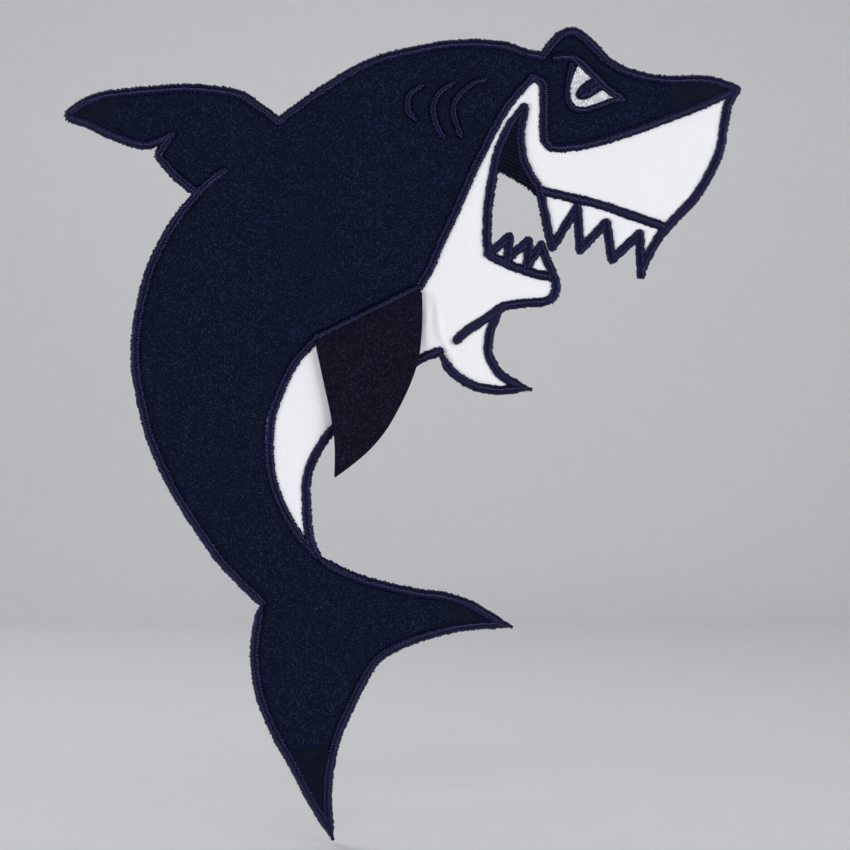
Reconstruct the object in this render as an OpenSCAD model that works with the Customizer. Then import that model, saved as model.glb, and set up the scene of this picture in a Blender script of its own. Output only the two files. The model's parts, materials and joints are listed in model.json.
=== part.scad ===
// Shark applique patch for a garment: two jersey panels on a stabiliser backing, held by
// satin stitched borders, with embroidered fills, an eye, and one loose pectoral fin flap.
// It stands upright: +Z is the top of the picture, the face looks along -Y, and the back of
// the backing lies in the plane y = 0.

/* [Overall size] */
// Height over the stitched borders
patch_h = 293.5; // [220:0.5:360]
// Width over the stitched borders
patch_w = 244; // [190:0.5:300]

/* [Cloth] */
// Thickness of the cutaway stabiliser backing
backing_t = 0.4; // [0.3:0.05:0.8]
// How far the backing is trimmed inside the edge of the border stitches
backing_trim = 0.2; // [0.1:0.05:0.6]
// Thickness of the cotton jersey panels
jersey_t = 0.8; // [0.5:0.05:1.2]

/* [Stitching] */
// Width of the satin borders and drawn lines
border_w = 3; // [2.2:0.1:4]
// Width of the narrow satin lines of the gills and round the eye
fine_w = 2.2; // [1.6:0.1:3]
// Height of the satin stitches above the jersey
satin_rise = 1; // [0.6:0.05:1.4]
// Height of the flat embroidered fills above the jersey
fill_rise = 0.5; // [0.3:0.05:0.8]
// Space kept between neighbouring pieces of stitching
stitch_gap = 0.04; // [0.02:0.01:0.1]

/* [Fin flap] */
// Thickness of the felt fin
felt_t = 1; // [0.6:0.05:1.6]
// Height of the seam stitches above the felt root that they hold
seam_rise = 0.4; // [0.3:0.05:0.8]
// Space between the edge of the seam and the line that the flap turns about
hinge_gap = 1.2; // [1:0.1:2]
// Space between the flap and the stitches behind it
flap_clear = 0.5; // [0.4:0.05:1]
// Length of the flap, square to its hinge line
flap_len = 45.5; // [34:0.5:56]

/* [Embroidered tips] */
// Length of the stitched tip of the lower tail fluke
tail_tip_len = 31.5; // [20:0.5:40]
// Length of the stitched tip of the upper tail fluke
fluke_tip_len = 24; // [14:0.5:32]
// Length of the stitched tip of the dorsal fin
dorsal_tip_len = 18; // [8:0.5:25]
// Length of the stitched tip of the snout
snout_tip_len = 24; // [12:0.5:34]

/* [Hidden] */

// Curves are splines through their points with this many steps to a span.
CURVE_STEPS = 4;
$fn = 20;

// Depths of the layers, measured forward from the back face.
JERSEY_BACK = backing_t;
JERSEY_FRONT = JERSEY_BACK + jersey_t;
SATIN_FRONT = JERSEY_FRONT + satin_rise;
FILL_FRONT = JERSEY_FRONT + fill_rise;
ROOT_FRONT = JERSEY_FRONT + felt_t;
SEAM_FRONT = ROOT_FRONT + seam_rise;
FLAP_BACK = max(SATIN_FRONT, ROOT_FRONT) + flap_clear;

// The lines below are the middles of the borders, drawn at this size in [x, z].
DRAWN_LEFT = -80;
DRAWN_RIGHT = 161;
DRAWN_LOW = -193.5;
DRAWN_TOP = 97;
SCALE_X = (patch_w - border_w) / (DRAWN_RIGHT - DRAWN_LEFT);
SCALE_Z = (patch_h - border_w) / (DRAWN_TOP - DRAWN_LOW);

function scaled(points) = [for (p = points) [p[0] * SCALE_X, p[1] * SCALE_Z]];
function last(list) = list[len(list) - 1];
function reversed(list) = [for (i = [len(list) - 1:-1:0]) list[i]];
function catmull(a, b, c, d, t) =
    0.5 * (2 * b + (c - a) * t + (2 * a - 5 * b + 4 * c - d) * t * t
        + (3 * b - a - 3 * c + d) * t * t * t);
function curve(points) = [
    for (i = [0:len(points) - 2])
        for (j = [0:CURVE_STEPS - 1])
            catmull(points[max(i - 1, 0)], points[i], points[i + 1],
                points[min(i + 2, len(points) - 1)], j / CURVE_STEPS),
    last(points)
];

// Tail: from the notch behind the back round both flukes to the belly.
TAIL_NOTCH = [-10, -109];
LOWER_TIP = [15, -193.5];
UPPER_TIP = [79, -117.5];
BELLY_CORNER = [9.5, -92];
TAIL_LOWER = curve(scaled([
    TAIL_NOTCH, [-12, -118], [-13, -128], [-11.5, -140.5], [-8.5, -149.5], [-4, -159],
    [2, -169.5], [7, -179.5], [13, -189.5], LOWER_TIP
]));
TAIL_INNER = curve(scaled([
    LOWER_TIP, [13.5, -183.5], [13.5, -177], [14.5, -167.5], [17.5, -156], [22, -146],
    [27, -136], [31.5, -129.5], [39.5, -124.5], [50.5, -120.5], [61, -118], [72, -117],
    UPPER_TIP
]));
TAIL_UPPER = curve(scaled([
    UPPER_TIP, [73.5, -115], [65, -110], [56, -107], [45, -105.5], [34, -103],
    [23.5, -100], [14, -95.5], BELLY_CORNER
]));

// Back, dorsal fin and the small lobe behind it.
BACK_STEP = [-33.5, 38.5];
BACK = curve(scaled([
    BACK_STEP, [-40.5, 30], [-47, 19], [-51.5, 8.5], [-55, -7], [-56, -21], [-54.5, -32.5],
    [-50.5, -49.5], [-43.5, -65.5], [-35.5, -79], [-25, -94], [-14.5, -105], TAIL_NOTCH
]));
LOBE = curve(scaled([
    [-44, 58], [-46.5, 54.5], [-47.5, 52], [-45.5, 49.5], [-41, 44.5], BACK_STEP
]));
DORSAL_NOTCH = [-4, 64.5];
DORSAL = curve(scaled([
    [-42.5, 59.5], [-45.5, 58], [-49.5, 56.5], [-54, 56], [-63, 59], [-74, 64],
    [DRAWN_LEFT, 66.5], [-75.5, 70.5], [-68.5, 73.5], [-57.5, 75], [-47, 76], [-36, 76.5],
    [-21.5, 75], [-16, 73], [-11, 69.5], DORSAL_NOTCH
]));
FOLD = curve(scaled([BACK_STEP, [-29, 43], [-24, 46.5]]));

// Head, snout and the white strip that runs up behind the mouth.
HEAD_NOTCH = [91, 88];
NOSE = [DRAWN_RIGHT, 76];
STRIP_PEAK = [87.5, 80.5];
CROWN = curve(scaled([
    DORSAL_NOTCH, [0, 67.5], [9, 74], [21.5, 82], [32.5, 87], [47, 90.5], [61, 92.5],
    [75.5, 92], [85.5, 89], HEAD_NOTCH
]));
HEAD = curve(scaled([
    HEAD_NOTCH, [94.5, 92.5], [97.5, 95.5], [101.5, DRAWN_TOP], [105, 95.5], [109.5, 91.5],
    [115.5, 85.5], [124, 81.5], [135, 79.5], [149.5, 79.5], [157.5, 77.5], NOSE
]));
SNOUT = curve(scaled([
    NOSE, [147.5, 70], [133, 64.5], [119, 59.5], [106, 56], [96.5, 55], [92.5, 56.5],
    [91.5, 60.5], [91.5, 66.5], [91.5, 74], [91, 78.5], STRIP_PEAK
]));
SEAM_START = scaled([[9.5, -13.5]])[0];
SEAM_END = scaled([[46, 4.5]])[0];
NECK = curve(concat(scaled([
    STRIP_PEAK, [83.5, 76.5], [78.5, 70.5], [74, 63], [70, 55], [66, 47], [62.5, 39],
    [58.5, 30], [54, 20.5], [50.5, 12]
]), [SEAM_END]));
SNOUT_FRONT = curve(scaled([
    NOSE, [158, 70.5], [156.5, 63], [155, 54], [151, 45], [146, 37], [139.5, 30], [134, 24], [130, 17.5],
    [127, 11.5], [126.5, 9]
]));

// Mouth, teeth and jaws. Teeth are straight zigzags.
MOUTH_CORNER = [84.5, 69.5];
LIP_CORNER = [71.5, 16.5];
TOOTH_START = [94.5, 19];
MOUTH_LEFT = curve(scaled([
    MOUTH_CORNER, [81.5, 66], [79, 62.5], [75, 53.5], [73, 44], [71.5, 34], [71, 23.5],
    LIP_CORNER
]));
MOUTH_RIGHT = curve(scaled([
    MOUTH_CORNER, [83, 59.5], [84, 50.5], [87.5, 43.5], [89.5, 40.5], [91.5, 32.5],
    [93, 25], TOOTH_START
]));
UPPER_TEETH = scaled([
    TOOTH_START, [103.5, 33.5], [104.5, 18], [114, 28], [116, 14.5], [126, 24], [126.5, 9]
]);
GUM = curve(scaled([[90.5, 39.5], [99, 37.5], [111.5, 34.5], [126, 29.5], [135, 26.5]]));
LAST_TOOTH = [90.5, 20];
LOWER_TEETH = scaled([
    LIP_CORNER, [79, 23], [78.5, 15], [86, 21.5], [85.5, 12.5], LAST_TOOTH
]);
LIP = curve(scaled([LIP_CORNER, [78.5, 13], [86.5, 10], [93.5, 8.5]]));
THROAT_TOP = [76.5, -2.5];
CHIN = curve(scaled([
    LAST_TOOTH, [93, 13.5], [94.5, 10], [96, 5.5], [95, 1.5], [92, -0.5], [86.5, -1],
    [81, -1.5], THROAT_TOP
]));
THROAT = curve(scaled([THROAT_TOP, [70, -7], [63, -11.5], [60, -14.5]]));

// Far fin, belly and the line between the two panels.
FIN_BACK = [54, -18.5];
FAR_FIN_TIP = [86, -32];
FAR_FIN = concat(
    curve(scaled([FIN_BACK, [58, -25.5], [66.5, -31], [75.5, -32.5], [81, -32], FAR_FIN_TIP])),
    curve(scaled([
        FAR_FIN_TIP, [81, -30], [75.5, -26.5], [72, -20.5], [71.5, -17], [72.5, -10],
        THROAT_TOP
    ])));
BELLY_EDGE = curve(scaled([
    BELLY_CORNER, [7, -85.5], [6, -75.5], [6, -65], [9, -56], [15.5, -46.5], [30.5, -31.5],
    [46.5, -21.5], FIN_BACK
]));
BELLY = curve(concat([SEAM_START], scaled([
    [1.5, -22.5], [-3.5, -32.5], [-7, -43], [-7.5, -56], [-6, -66.5], [-1.5, -77.5],
    [3.5, -85.5], BELLY_CORNER
])));

// Gills and eye.
GILL_1 = curve(scaled([[47, 77], [43, 74], [42.5, 68.5], [45, 65.5]]));
GILL_2 = curve(scaled([[58.5, 78], [54, 75], [51.5, 69.5], [52.5, 64], [55, 59]]));
GILL_3 = curve(scaled([[70, 79.5], [65, 77.5], [60, 72.5], [59, 67], [61.5, 59.5]]));
BROW = curve(scaled([[96, 87.5], [102, 87.5], [107.5, 83], [114, 76.5], [119.5, 72.5]]));
EYE_RING = curve(scaled([
    [101.5, 84.5], [100.5, 79], [100, 75], [101, 70.5], [104.5, 68.5], [110, 69.5],
    [115, 71.5], [119, 72.5]
]));
EYE_FIELD = scaled([
    [104, 85], [101, 78], [100.5, 72.5], [103, 70], [106, 69.5], [117, 73], [112, 78],
    [106, 84]
]);
PUPIL = curve(scaled([
    [109.5, 80.5], [105, 77.5], [103, 74.5], [104, 72.5], [107, 72.5], [112, 75.5],
    [114, 77]
]));

// The flap turns about a line below the seam and parallel with it.
SEAM_ALONG = (SEAM_END - SEAM_START) / norm(SEAM_END - SEAM_START);
SEAM_DOWN = [SEAM_ALONG[1], -SEAM_ALONG[0]];
HINGE_DROP = border_w / 2 + hinge_gap;
HINGE_START = SEAM_START + SEAM_DOWN * HINGE_DROP - SEAM_ALONG * 1.5;
HINGE_LEN = norm(SEAM_END - SEAM_START) + 2;
// The flap's edge in [along the hinge, down from it], both as shares of its sizes.
FLAP_TIP = [-0.35, 1];
FLAP_FRONT = [
    [1, 0], [0.86, 0.26], [0.72, 0.46], [0.53, 0.635], [0.25, 0.825], [0.02, 0.925],
    [-0.215, 0.98], FLAP_TIP
];
FLAP_REAR = [FLAP_TIP, [-0.225, 0.765], [-0.145, 0.54], [-0.07, 0.26], [0, 0]];
function on_flap(points) = [
    for (p = points) HINGE_START + SEAM_ALONG * p[0] * HINGE_LEN + SEAM_DOWN * p[1] * flap_len
];

// A border grows from a polygon this far to each side of its line.
HAIR = 0.05;
SHRED = 0.25;
function heading(line, i) =
    let (d = line[min(i + 1, len(line) - 1)] - line[max(i - 1, 0)]) d / norm(d);
function beside(line, side) = [
    for (i = [0:len(line) - 1])
        line[i] + side * [-heading(line, i)[1], heading(line, i)[0]]
];
module border(line, width = border_w) {
    offset(r = width / 2 - HAIR)
        polygon(concat(beside(line, HAIR), reversed(beside(line, -HAIR))));
}

// Outlines of the cloth pieces, out to the middles of the borders.
module navy_outline() {
    polygon(concat(
        CROWN, HEAD, SNOUT, NECK, [SEAM_START], BELLY, reversed(TAIL_UPPER),
        reversed(TAIL_INNER), reversed(TAIL_LOWER), reversed(BACK), reversed(LOBE), DORSAL));
}
module white_outline() {
    polygon(concat(
        reversed(NECK), reversed(SNOUT), SNOUT_FRONT, reversed(UPPER_TEETH),
        reversed(MOUTH_RIGHT), MOUTH_LEFT, LOWER_TEETH, CHIN, reversed(FAR_FIN),
        reversed(BELLY_EDGE), reversed(BELLY)));
}
module mouth_corner_outline() {
    rim = scaled([[89.5, 37.5], [86, 41], [80.5, 44.5], [73.5, 48.5]]);
    stop_right = [for (p = MOUTH_RIGHT) if (p[1] > rim[0][1]) p];
    stop_left = [for (p = MOUTH_LEFT) if (p[1] > last(rim)[1]) p];
    polygon(concat(stop_left, reversed(curve(rim)), reversed(stop_right)));
}

// Lays a flat outline between two depths in front of the back face.
module layer(back, front) {
    translate([0, -back, 0])
        rotate([90, 0, 0])
            linear_extrude(front - back)
                children();
}
// Draws an outline back by half a gap, and loses any shred thinner than twice SHRED.
module clear_of(width = stitch_gap) {
    offset(r = SHRED - width / 2)
        offset(r = -SHRED)
            children();
}

// A satin line on top of the cloth; the lines given as children are cut out of it.
module satin(line, width = border_w, back = JERSEY_FRONT, front = SATIN_FRONT) {
    layer(back, front)
        clear_of() difference() {
            border(line, width);
            children();
        }
}
// A satin border over a raw edge, which also reaches down to the backing outside the cloth.
module edging(line) {
    satin(line) children();
    layer(JERSEY_BACK, JERSEY_FRONT)
        clear_of(2 * stitch_gap) difference() {
            border(line);
            navy_outline();
            white_outline();
            children();
        }
}
// A flat stitched area on the jersey; the borders given as children are cut out of it.
module fill_in(back, front) {
    layer(back, front)
        clear_of() difference() {
            children(0);
            children([1:$children - 1]);
        }
}
module tip_zone(from, to) {
    translate(from) square(to - from);
}

module stabiliser_backing() {
    color("whitesmoke")
        layer(0, backing_t)
            offset(r = border_w / 2 - backing_trim) {
                navy_outline();
                white_outline();
                mouth_corner_outline();
            }
}
module navy_body_panel() {
    color("midnightblue") layer(JERSEY_BACK, JERSEY_FRONT) navy_outline();
}
module white_underside_panel() {
    color("white") layer(JERSEY_BACK, JERSEY_FRONT) white_outline();
}

module back_edge() { color("darkslateblue") edging(concat(LOBE, BACK)); }
module dorsal_fin_edge() { color("darkslateblue") edging(DORSAL) border(LOBE); }
module crown_edge() { color("darkslateblue") edging(CROWN) border(DORSAL); }
module head_edge() { color("darkslateblue") edging(HEAD) border(CROWN); }
module snout_line() { color("darkslateblue") satin(SNOUT) border(HEAD); }
module neck_line() {
    color("darkslateblue") satin(NECK) {
        border(SNOUT);
        seam_outline();
    }
}
module belly_line() { color("darkslateblue") satin(BELLY) seam_outline(); }
module belly_edge() {
    color("darkslateblue") edging(BELLY_EDGE) {
        border(BELLY);
        border(FAR_FIN);
    }
}
module far_fin_edge() {
    color("darkslateblue") edging(FAR_FIN) {
        border(THROAT);
        border(CHIN);
    }
}
module throat_line() { color("darkslateblue") satin(THROAT) border(CHIN); }
module chin_line() { color("darkslateblue") edging(CHIN) border(MOUTH_RIGHT); }
module lower_lip_line() {
    color("darkslateblue") satin(LIP) {
        border(MOUTH_LEFT);
        border(CHIN);
    }
}
module lower_teeth_edge() {
    color("darkslateblue") edging(LOWER_TEETH) {
        border(MOUTH_LEFT);
        border(LIP);
        border(CHIN);
    }
}
module mouth_right_line() { color("darkslateblue") edging(MOUTH_RIGHT); }
module mouth_left_line() { color("darkslateblue") edging(MOUTH_LEFT) border(MOUTH_RIGHT); }
module upper_teeth_edge() {
    color("darkslateblue") edging(UPPER_TEETH) {
        border(MOUTH_RIGHT);
        border(SNOUT_FRONT);
    }
}
module gum_line() {
    color("darkslateblue") satin(GUM) {
        border(MOUTH_RIGHT);
        border(SNOUT_FRONT);
        border(UPPER_TEETH);
    }
}
module snout_front_edge() {
    color("darkslateblue") edging(SNOUT_FRONT) {
        border(HEAD);
        border(SNOUT);
    }
}
module tail_lower_edge() { color("darkslateblue") edging(TAIL_LOWER) border(BACK); }
module tail_inner_edge() { color("darkslateblue") edging(TAIL_INNER) border(TAIL_LOWER); }
module tail_upper_edge() {
    color("darkslateblue") edging(TAIL_UPPER) {
        border(TAIL_INNER);
        border(BELLY);
        border(BELLY_EDGE);
    }
}
module dorsal_fold_line() { color("darkslateblue") satin(FOLD) border(concat(LOBE, BACK)); }
module gill_line_1() { color("darkslateblue") satin(GILL_1, fine_w); }
module gill_line_2() { color("darkslateblue") satin(GILL_2, fine_w); }
module gill_line_3() { color("darkslateblue") satin(GILL_3, fine_w); }
module brow_line() { color("darkslateblue") satin(BROW); }
module eye_outline() { color("darkslateblue") satin(EYE_RING, fine_w) border(BROW); }

module eye_white() {
    color("silver") fill_in(JERSEY_FRONT, FILL_FRONT) {
        polygon(EYE_FIELD);
        polygon(PUPIL);
        border(BROW);
        border(EYE_RING, fine_w);
    }
}
module pupil() {
    color("darkslateblue") fill_in(JERSEY_FRONT, SATIN_FRONT) {
        polygon(PUPIL);
        border(BROW);
        border(EYE_RING, fine_w);
    }
}

module tail_tip_fill() {
    low = scaled([[-20, DRAWN_LOW]])[0];
    color("midnightblue") fill_in(JERSEY_FRONT, FILL_FRONT) {
        intersection() {
            navy_outline();
            tip_zone(low, low + [60, tail_tip_len]);
        }
        border(TAIL_LOWER);
        border(TAIL_INNER);
    }
}
module fluke_tip_fill() {
    tip = scaled([UPPER_TIP])[0];
    color("midnightblue") fill_in(JERSEY_FRONT, FILL_FRONT) {
        intersection() {
            navy_outline();
            tip_zone(tip - [fluke_tip_len, 20], tip + [0, 20]);
        }
        border(TAIL_INNER);
        border(TAIL_UPPER);
    }
}
module dorsal_tip_fill() {
    tip = scaled([[DRAWN_LEFT, 66.5]])[0];
    color("midnightblue") fill_in(JERSEY_FRONT, FILL_FRONT) {
        intersection() {
            navy_outline();
            tip_zone(tip - [0, 20], tip + [dorsal_tip_len, 20]);
        }
        border(DORSAL);
    }
}
module snout_tip_fill() {
    tip = scaled([NOSE])[0];
    color("midnightblue") fill_in(JERSEY_FRONT, FILL_FRONT) {
        intersection() {
            navy_outline();
            tip_zone(tip - [snout_tip_len, 20], tip + [0, 20]);
        }
        border(HEAD);
        border(SNOUT);
    }
}
module mouth_corner_fill() {
    color("midnightblue") fill_in(JERSEY_BACK, FILL_FRONT) {
        mouth_corner_outline();
        border(MOUTH_LEFT);
        border(MOUTH_RIGHT);
    }
}

// The fin's root lies under the lower half of the seam, and the seam covers it.
module seam_outline() { border([SEAM_START, SEAM_END]); }
module root_outline() {
    half = border_w / 2 - HAIR - stitch_gap;
    polygon([
        SEAM_START, SEAM_END, SEAM_END + SEAM_DOWN * half, SEAM_START + SEAM_DOWN * half
    ]);
}
module fin_flap_root() {
    color("black") layer(JERSEY_FRONT, ROOT_FRONT) root_outline();
}
module fin_seam() {
    color("darkslateblue") {
        layer(ROOT_FRONT, SEAM_FRONT) clear_of() seam_outline();
        layer(JERSEY_FRONT, ROOT_FRONT)
            clear_of() difference() {
                seam_outline();
                offset(delta = stitch_gap) root_outline();
            }
    }
}
module pectoral_fin_flap() {
    color("black")
        layer(FLAP_BACK, FLAP_BACK + felt_t)
            polygon(concat(curve(on_flap(FLAP_FRONT)), curve(on_flap(FLAP_REAR))));
}

stabiliser_backing();
navy_body_panel();
white_underside_panel();
back_edge();
dorsal_fin_edge();
crown_edge();
head_edge();
snout_line();
neck_line();
fin_seam();
belly_line();
belly_edge();
far_fin_edge();
throat_line();
chin_line();
lower_lip_line();
lower_teeth_edge();
mouth_left_line();
mouth_right_line();
upper_teeth_edge();
gum_line();
snout_front_edge();
tail_lower_edge();
tail_inner_edge();
tail_upper_edge();
dorsal_fold_line();
gill_line_1();
gill_line_2();
gill_line_3();
brow_line();
eye_outline();
eye_white();
pupil();
tail_tip_fill();
fluke_tip_fill();
dorsal_tip_fill();
snout_tip_fill();
mouth_corner_fill();
fin_flap_root();
pectoral_fin_flap();
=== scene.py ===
import json
import math
import random

import bmesh
import bpy
import numpy as np
from bpy.props import FloatProperty, FloatVectorProperty, IntProperty, PointerProperty
from bpy.types import Operator, Panel, PropertyGroup
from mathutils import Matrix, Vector, noise
from mathutils.geometry import delaunay_2d_cdt
from mathutils.kdtree import KDTree


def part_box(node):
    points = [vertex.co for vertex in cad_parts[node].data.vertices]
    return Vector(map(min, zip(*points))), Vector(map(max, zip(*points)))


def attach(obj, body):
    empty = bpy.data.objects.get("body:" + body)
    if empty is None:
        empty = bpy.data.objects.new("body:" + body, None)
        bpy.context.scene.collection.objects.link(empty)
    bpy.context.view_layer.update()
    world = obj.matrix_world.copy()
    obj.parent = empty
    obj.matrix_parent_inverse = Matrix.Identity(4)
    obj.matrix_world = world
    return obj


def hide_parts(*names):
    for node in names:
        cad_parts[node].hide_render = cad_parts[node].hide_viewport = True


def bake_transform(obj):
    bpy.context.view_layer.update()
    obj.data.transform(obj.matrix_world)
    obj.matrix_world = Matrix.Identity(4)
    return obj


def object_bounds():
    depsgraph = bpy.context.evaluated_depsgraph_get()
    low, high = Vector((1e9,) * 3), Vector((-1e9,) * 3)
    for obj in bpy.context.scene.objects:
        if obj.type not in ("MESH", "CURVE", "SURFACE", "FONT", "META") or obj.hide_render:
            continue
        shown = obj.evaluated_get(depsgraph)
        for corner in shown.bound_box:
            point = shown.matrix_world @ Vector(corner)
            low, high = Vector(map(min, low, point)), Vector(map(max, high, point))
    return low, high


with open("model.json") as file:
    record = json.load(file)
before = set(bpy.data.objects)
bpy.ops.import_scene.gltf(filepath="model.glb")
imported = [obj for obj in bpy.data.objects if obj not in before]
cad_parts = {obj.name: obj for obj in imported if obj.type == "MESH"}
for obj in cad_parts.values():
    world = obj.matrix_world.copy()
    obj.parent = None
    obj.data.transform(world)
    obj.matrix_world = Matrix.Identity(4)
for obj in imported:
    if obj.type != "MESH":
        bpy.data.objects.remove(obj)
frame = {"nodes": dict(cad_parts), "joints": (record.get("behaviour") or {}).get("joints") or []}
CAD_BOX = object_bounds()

bl_info = {
    "name": "Shark applique patch",
    "version": (1, 0, 0),
    "blender": (4, 5, 0),
    "location": "3D View > Sidebar > Shark Patch",
    "description": "Sews the cloth, the stitching and the loose fin of a shark applique patch",
    "category": "Add Mesh",
}

MM = 0.001
PATCH = "patch"
# The stitched front looks this way, and the flat back the other way.
FRONT = Vector((0, -1, 0))


def linear(hex_colour):
    """A colour written as sRGB hex, such as #1B2036, as linear red, green, blue and alpha."""
    values = [int(hex_colour[i:i + 2], 16) / 255 for i in (1, 3, 5)]
    return [v / 12.92 if v <= 0.04045 else ((v + 0.055) / 1.055) ** 2.4 for v in values] + [1]


def depth(node):
    """How far in front of the back face a node's front lies, in metres."""
    return -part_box(node)[0].y


BACKING_FRONT = depth("stabiliser_backing")
JERSEY_FRONT = depth("navy_body_panel")
SATIN_FRONT = depth("neck_line")
FILL_FRONT = depth("tail_tip_fill")
ROOT_FRONT = depth("fin_flap_root")
SEAM_FRONT = depth("fin_seam")
FLAP_FRONT_FACE = depth("pectoral_fin_flap")
FLAP_BACK_FACE = -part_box("pectoral_fin_flap")[1].y

# ---------------------------------------------------------------- sizes and colours


def colour(name, description, hex_colour):
    """A colour that a user can change."""
    return FloatVectorProperty(
        name=name, description=description, subtype="COLOR", size=4, min=0, max=1,
        default=linear(hex_colour))


def length(name, description, millimetres):
    """A length that a user can change."""
    return FloatProperty(
        name=name, description=description, default=millimetres * MM, min=0,
        unit="LENGTH", subtype="DISTANCE")


class SharkCloth(PropertyGroup):
    grid: length("Panel grid", "Spacing of the points inside the navy jersey panel", 1.7)
    white_grid: length("White grid", "Spacing of the points inside the white jersey panel", 0.8)
    felt_grid: length("Felt grid", "Spacing of the points inside the felt fin", 1.2)
    wale: length("Wale", "Width of one upright column of knitted stitches", 0.76)
    course: length("Course", "Height of one row of knitted stitches", 0.55)
    crown: length("Crown", "How far the jersey puffs up between stitched lines", 0.38)
    crown_run: length("Crown run", "Distance from a stitched line to the full crown", 7)
    crease: length("Crease", "Depth of the crease that the stitches pull beside them", 0.3)
    ripple: length("Ripple", "Height of the slack ripples in the jersey", 0.16)
    wrinkle: length("Throat wrinkles", "Height of the gathered folds beside the fin", 0.95)
    fin_wave: length("Fin wave", "How far the felt fin waves out of its plane", 0.35)
    fin_curl: length("Fin curl", "How far the tip of the felt fin lifts off the cloth", 1.4)


class SharkStitching(PropertyGroup):
    border: length("Border width", "Width of the satin borders and drawn lines", 3)
    fine: length("Fine width", "Width of the gill lines and the ring round the eye", 2.2)
    # Real thread is 0.4 mm; it is drawn coarser so that single threads show.
    thread: length("Thread", "Diameter of the embroidery thread as drawn", 0.74)
    pitch: length("Pitch", "Distance from one satin thread to the next", 0.62)
    fray: FloatProperty(
        name="Fray", description="How unevenly the satin threads end, as a share of their width",
        default=0.1, min=0, max=0.3, subtype="FACTOR")
    lean: FloatProperty(
        name="Lean", description="How far a satin thread leans along its line, as a slope",
        default=0.09, min=0, max=0.5, subtype="FACTOR")
    fill_row: length("Fill row", "Distance between rows of the embroidered fills", 0.5)
    fill_stitch: length("Fill stitch", "Length of one running stitch of the fills", 2.6)
    seed: IntProperty(name="Seed", description="Start of the random unevenness", default=7, min=0)


class SharkColours(PropertyGroup):
    body: colour("Body jersey", "Navy jersey of the body", "#0E1326")
    body_fleck: colour("Body fleck", "Lighter fibres in the navy jersey", "#2C3658")
    belly: colour("Belly jersey", "White jersey of the underside", "#F4F4F8")
    # Painted shade: the grooves between the white wales are coloured with this darker white.
    belly_painted_shade: colour("Belly shade", "Grooves between the white wales", "#E6E6EC")
    satin_dark: colour("Satin shade", "Deep tone of the navy satin thread", "#04061A")
    satin_light: colour("Satin tone", "Light tone of the navy satin thread", "#0A0C2A")
    satin_shine: colour("Satin shine", "Tint of the light off the satin thread", "#AEAEFF")
    fill_dark: colour("Fill shade", "Deep tone of the navy fill thread", "#060914")
    fill_light: colour("Fill tone", "Light tone of the navy fill thread", "#0E1326")
    fill_shine: colour("Fill shine", "Tint of the light off the fill thread", "#CBD2FF")
    felt: colour("Felt", "Dark wool of the fin", "#0B0C18")
    # Painted glints: specks of the felt where its fibres catch the light.
    felt_glint_fleck: colour("Felt fleck", "Lighter fibres in the felt", "#34384F")
    # Painted glitter: each silver thread takes a random tone between this silver and the silver
    # shade below. These tones stand in for the glints and dull turns of metallised thread.
    silver: colour("Silver", "Metallised thread of the eye white", "#FFFFFF")
    silver_painted_shade: colour("Silver shade", "Duller turns of the metallised thread", "#B4B4BE")
    backing: colour("Backing", "White fibres of the stabiliser", "#ECECEA")
    bobbin: colour("Bobbin", "White bobbin thread on the back", "#EDEDEB")
    paper: colour("Backdrop", "Pale paper of the floor and backdrop", "#F7F8FA")
    daylight: colour("Daylight", "Colour of the even light", "#FAFCFF")


class SharkStage(PropertyGroup):
    view_width: length("View width", "Width of the scene that the camera takes in", 306)
    lens: FloatProperty(
        name="Lens", description="Focal length", default=85, min=20, subtype="DISTANCE_CAMERA")
    wall: length("Backdrop distance", "Distance from the patch to the backdrop", 1300)
    side_light: FloatProperty(
        name="Side lights", description="Power of each side softbox", default=5.15, subtype="POWER")
    grid_angle: FloatProperty(
        name="Grid angle", description="Spread of each softbox", default=math.radians(90),
        min=math.radians(20), max=math.radians(180), subtype="ANGLE")
    front_light: FloatProperty(
        name="Front light", description="Power of the overhead front softbox", default=0.4,
        subtype="POWER")
    sky: FloatProperty(name="Sky", description="Strength of the even light", default=0.1, min=0)
    zenith: FloatProperty(
        name="Zenith", description="Strength of the light overhead, which falls on the floor",
        default=0.5, min=0)
    horizon: FloatProperty(
        name="Horizon", description="Strength of the pale band round the horizon", default=0.4,
        min=0)


# ---------------------------------------------------------------- lines of the shark

# The lines repeat the spline points of the CAD model in [x, z] millimetres, and take their
# scale from the frame, so a patch of another size keeps its proportions. The CAD model's box
# reaches half a border past the lines.
BORDER = 3 * MM
DRAWN_LEFT, DRAWN_RIGHT, DRAWN_LOW, DRAWN_TOP = -80, 161, -193.5, 97
SCALE_X = (CAD_BOX[1][0] - CAD_BOX[0][0] - BORDER) / (DRAWN_RIGHT - DRAWN_LEFT)
SCALE_Z = (CAD_BOX[1][2] - CAD_BOX[0][2] - BORDER) / (DRAWN_TOP - DRAWN_LOW)
# Straight pieces of a smooth line between two of its points.
STEPS = 8


def at(x, z):
    """A drawn point in metres."""
    return Vector((x * SCALE_X, z * SCALE_Z))


def curve(*points):
    """A smooth line through the points, given in drawn millimetres."""
    points = [at(*p) for p in points]
    line = []
    for i in range(len(points) - 1):
        a, b = points[max(i - 1, 0)], points[i]
        c, d = points[i + 1], points[min(i + 2, len(points) - 1)]
        for step in range(STEPS):
            t = step / STEPS
            line.append(0.5 * (
                2 * b + (c - a) * t + (2 * a - 5 * b + 4 * c - d) * t * t
                + (3 * b - a - 3 * c + d) * t ** 3))
    return line + [points[-1]]


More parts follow.
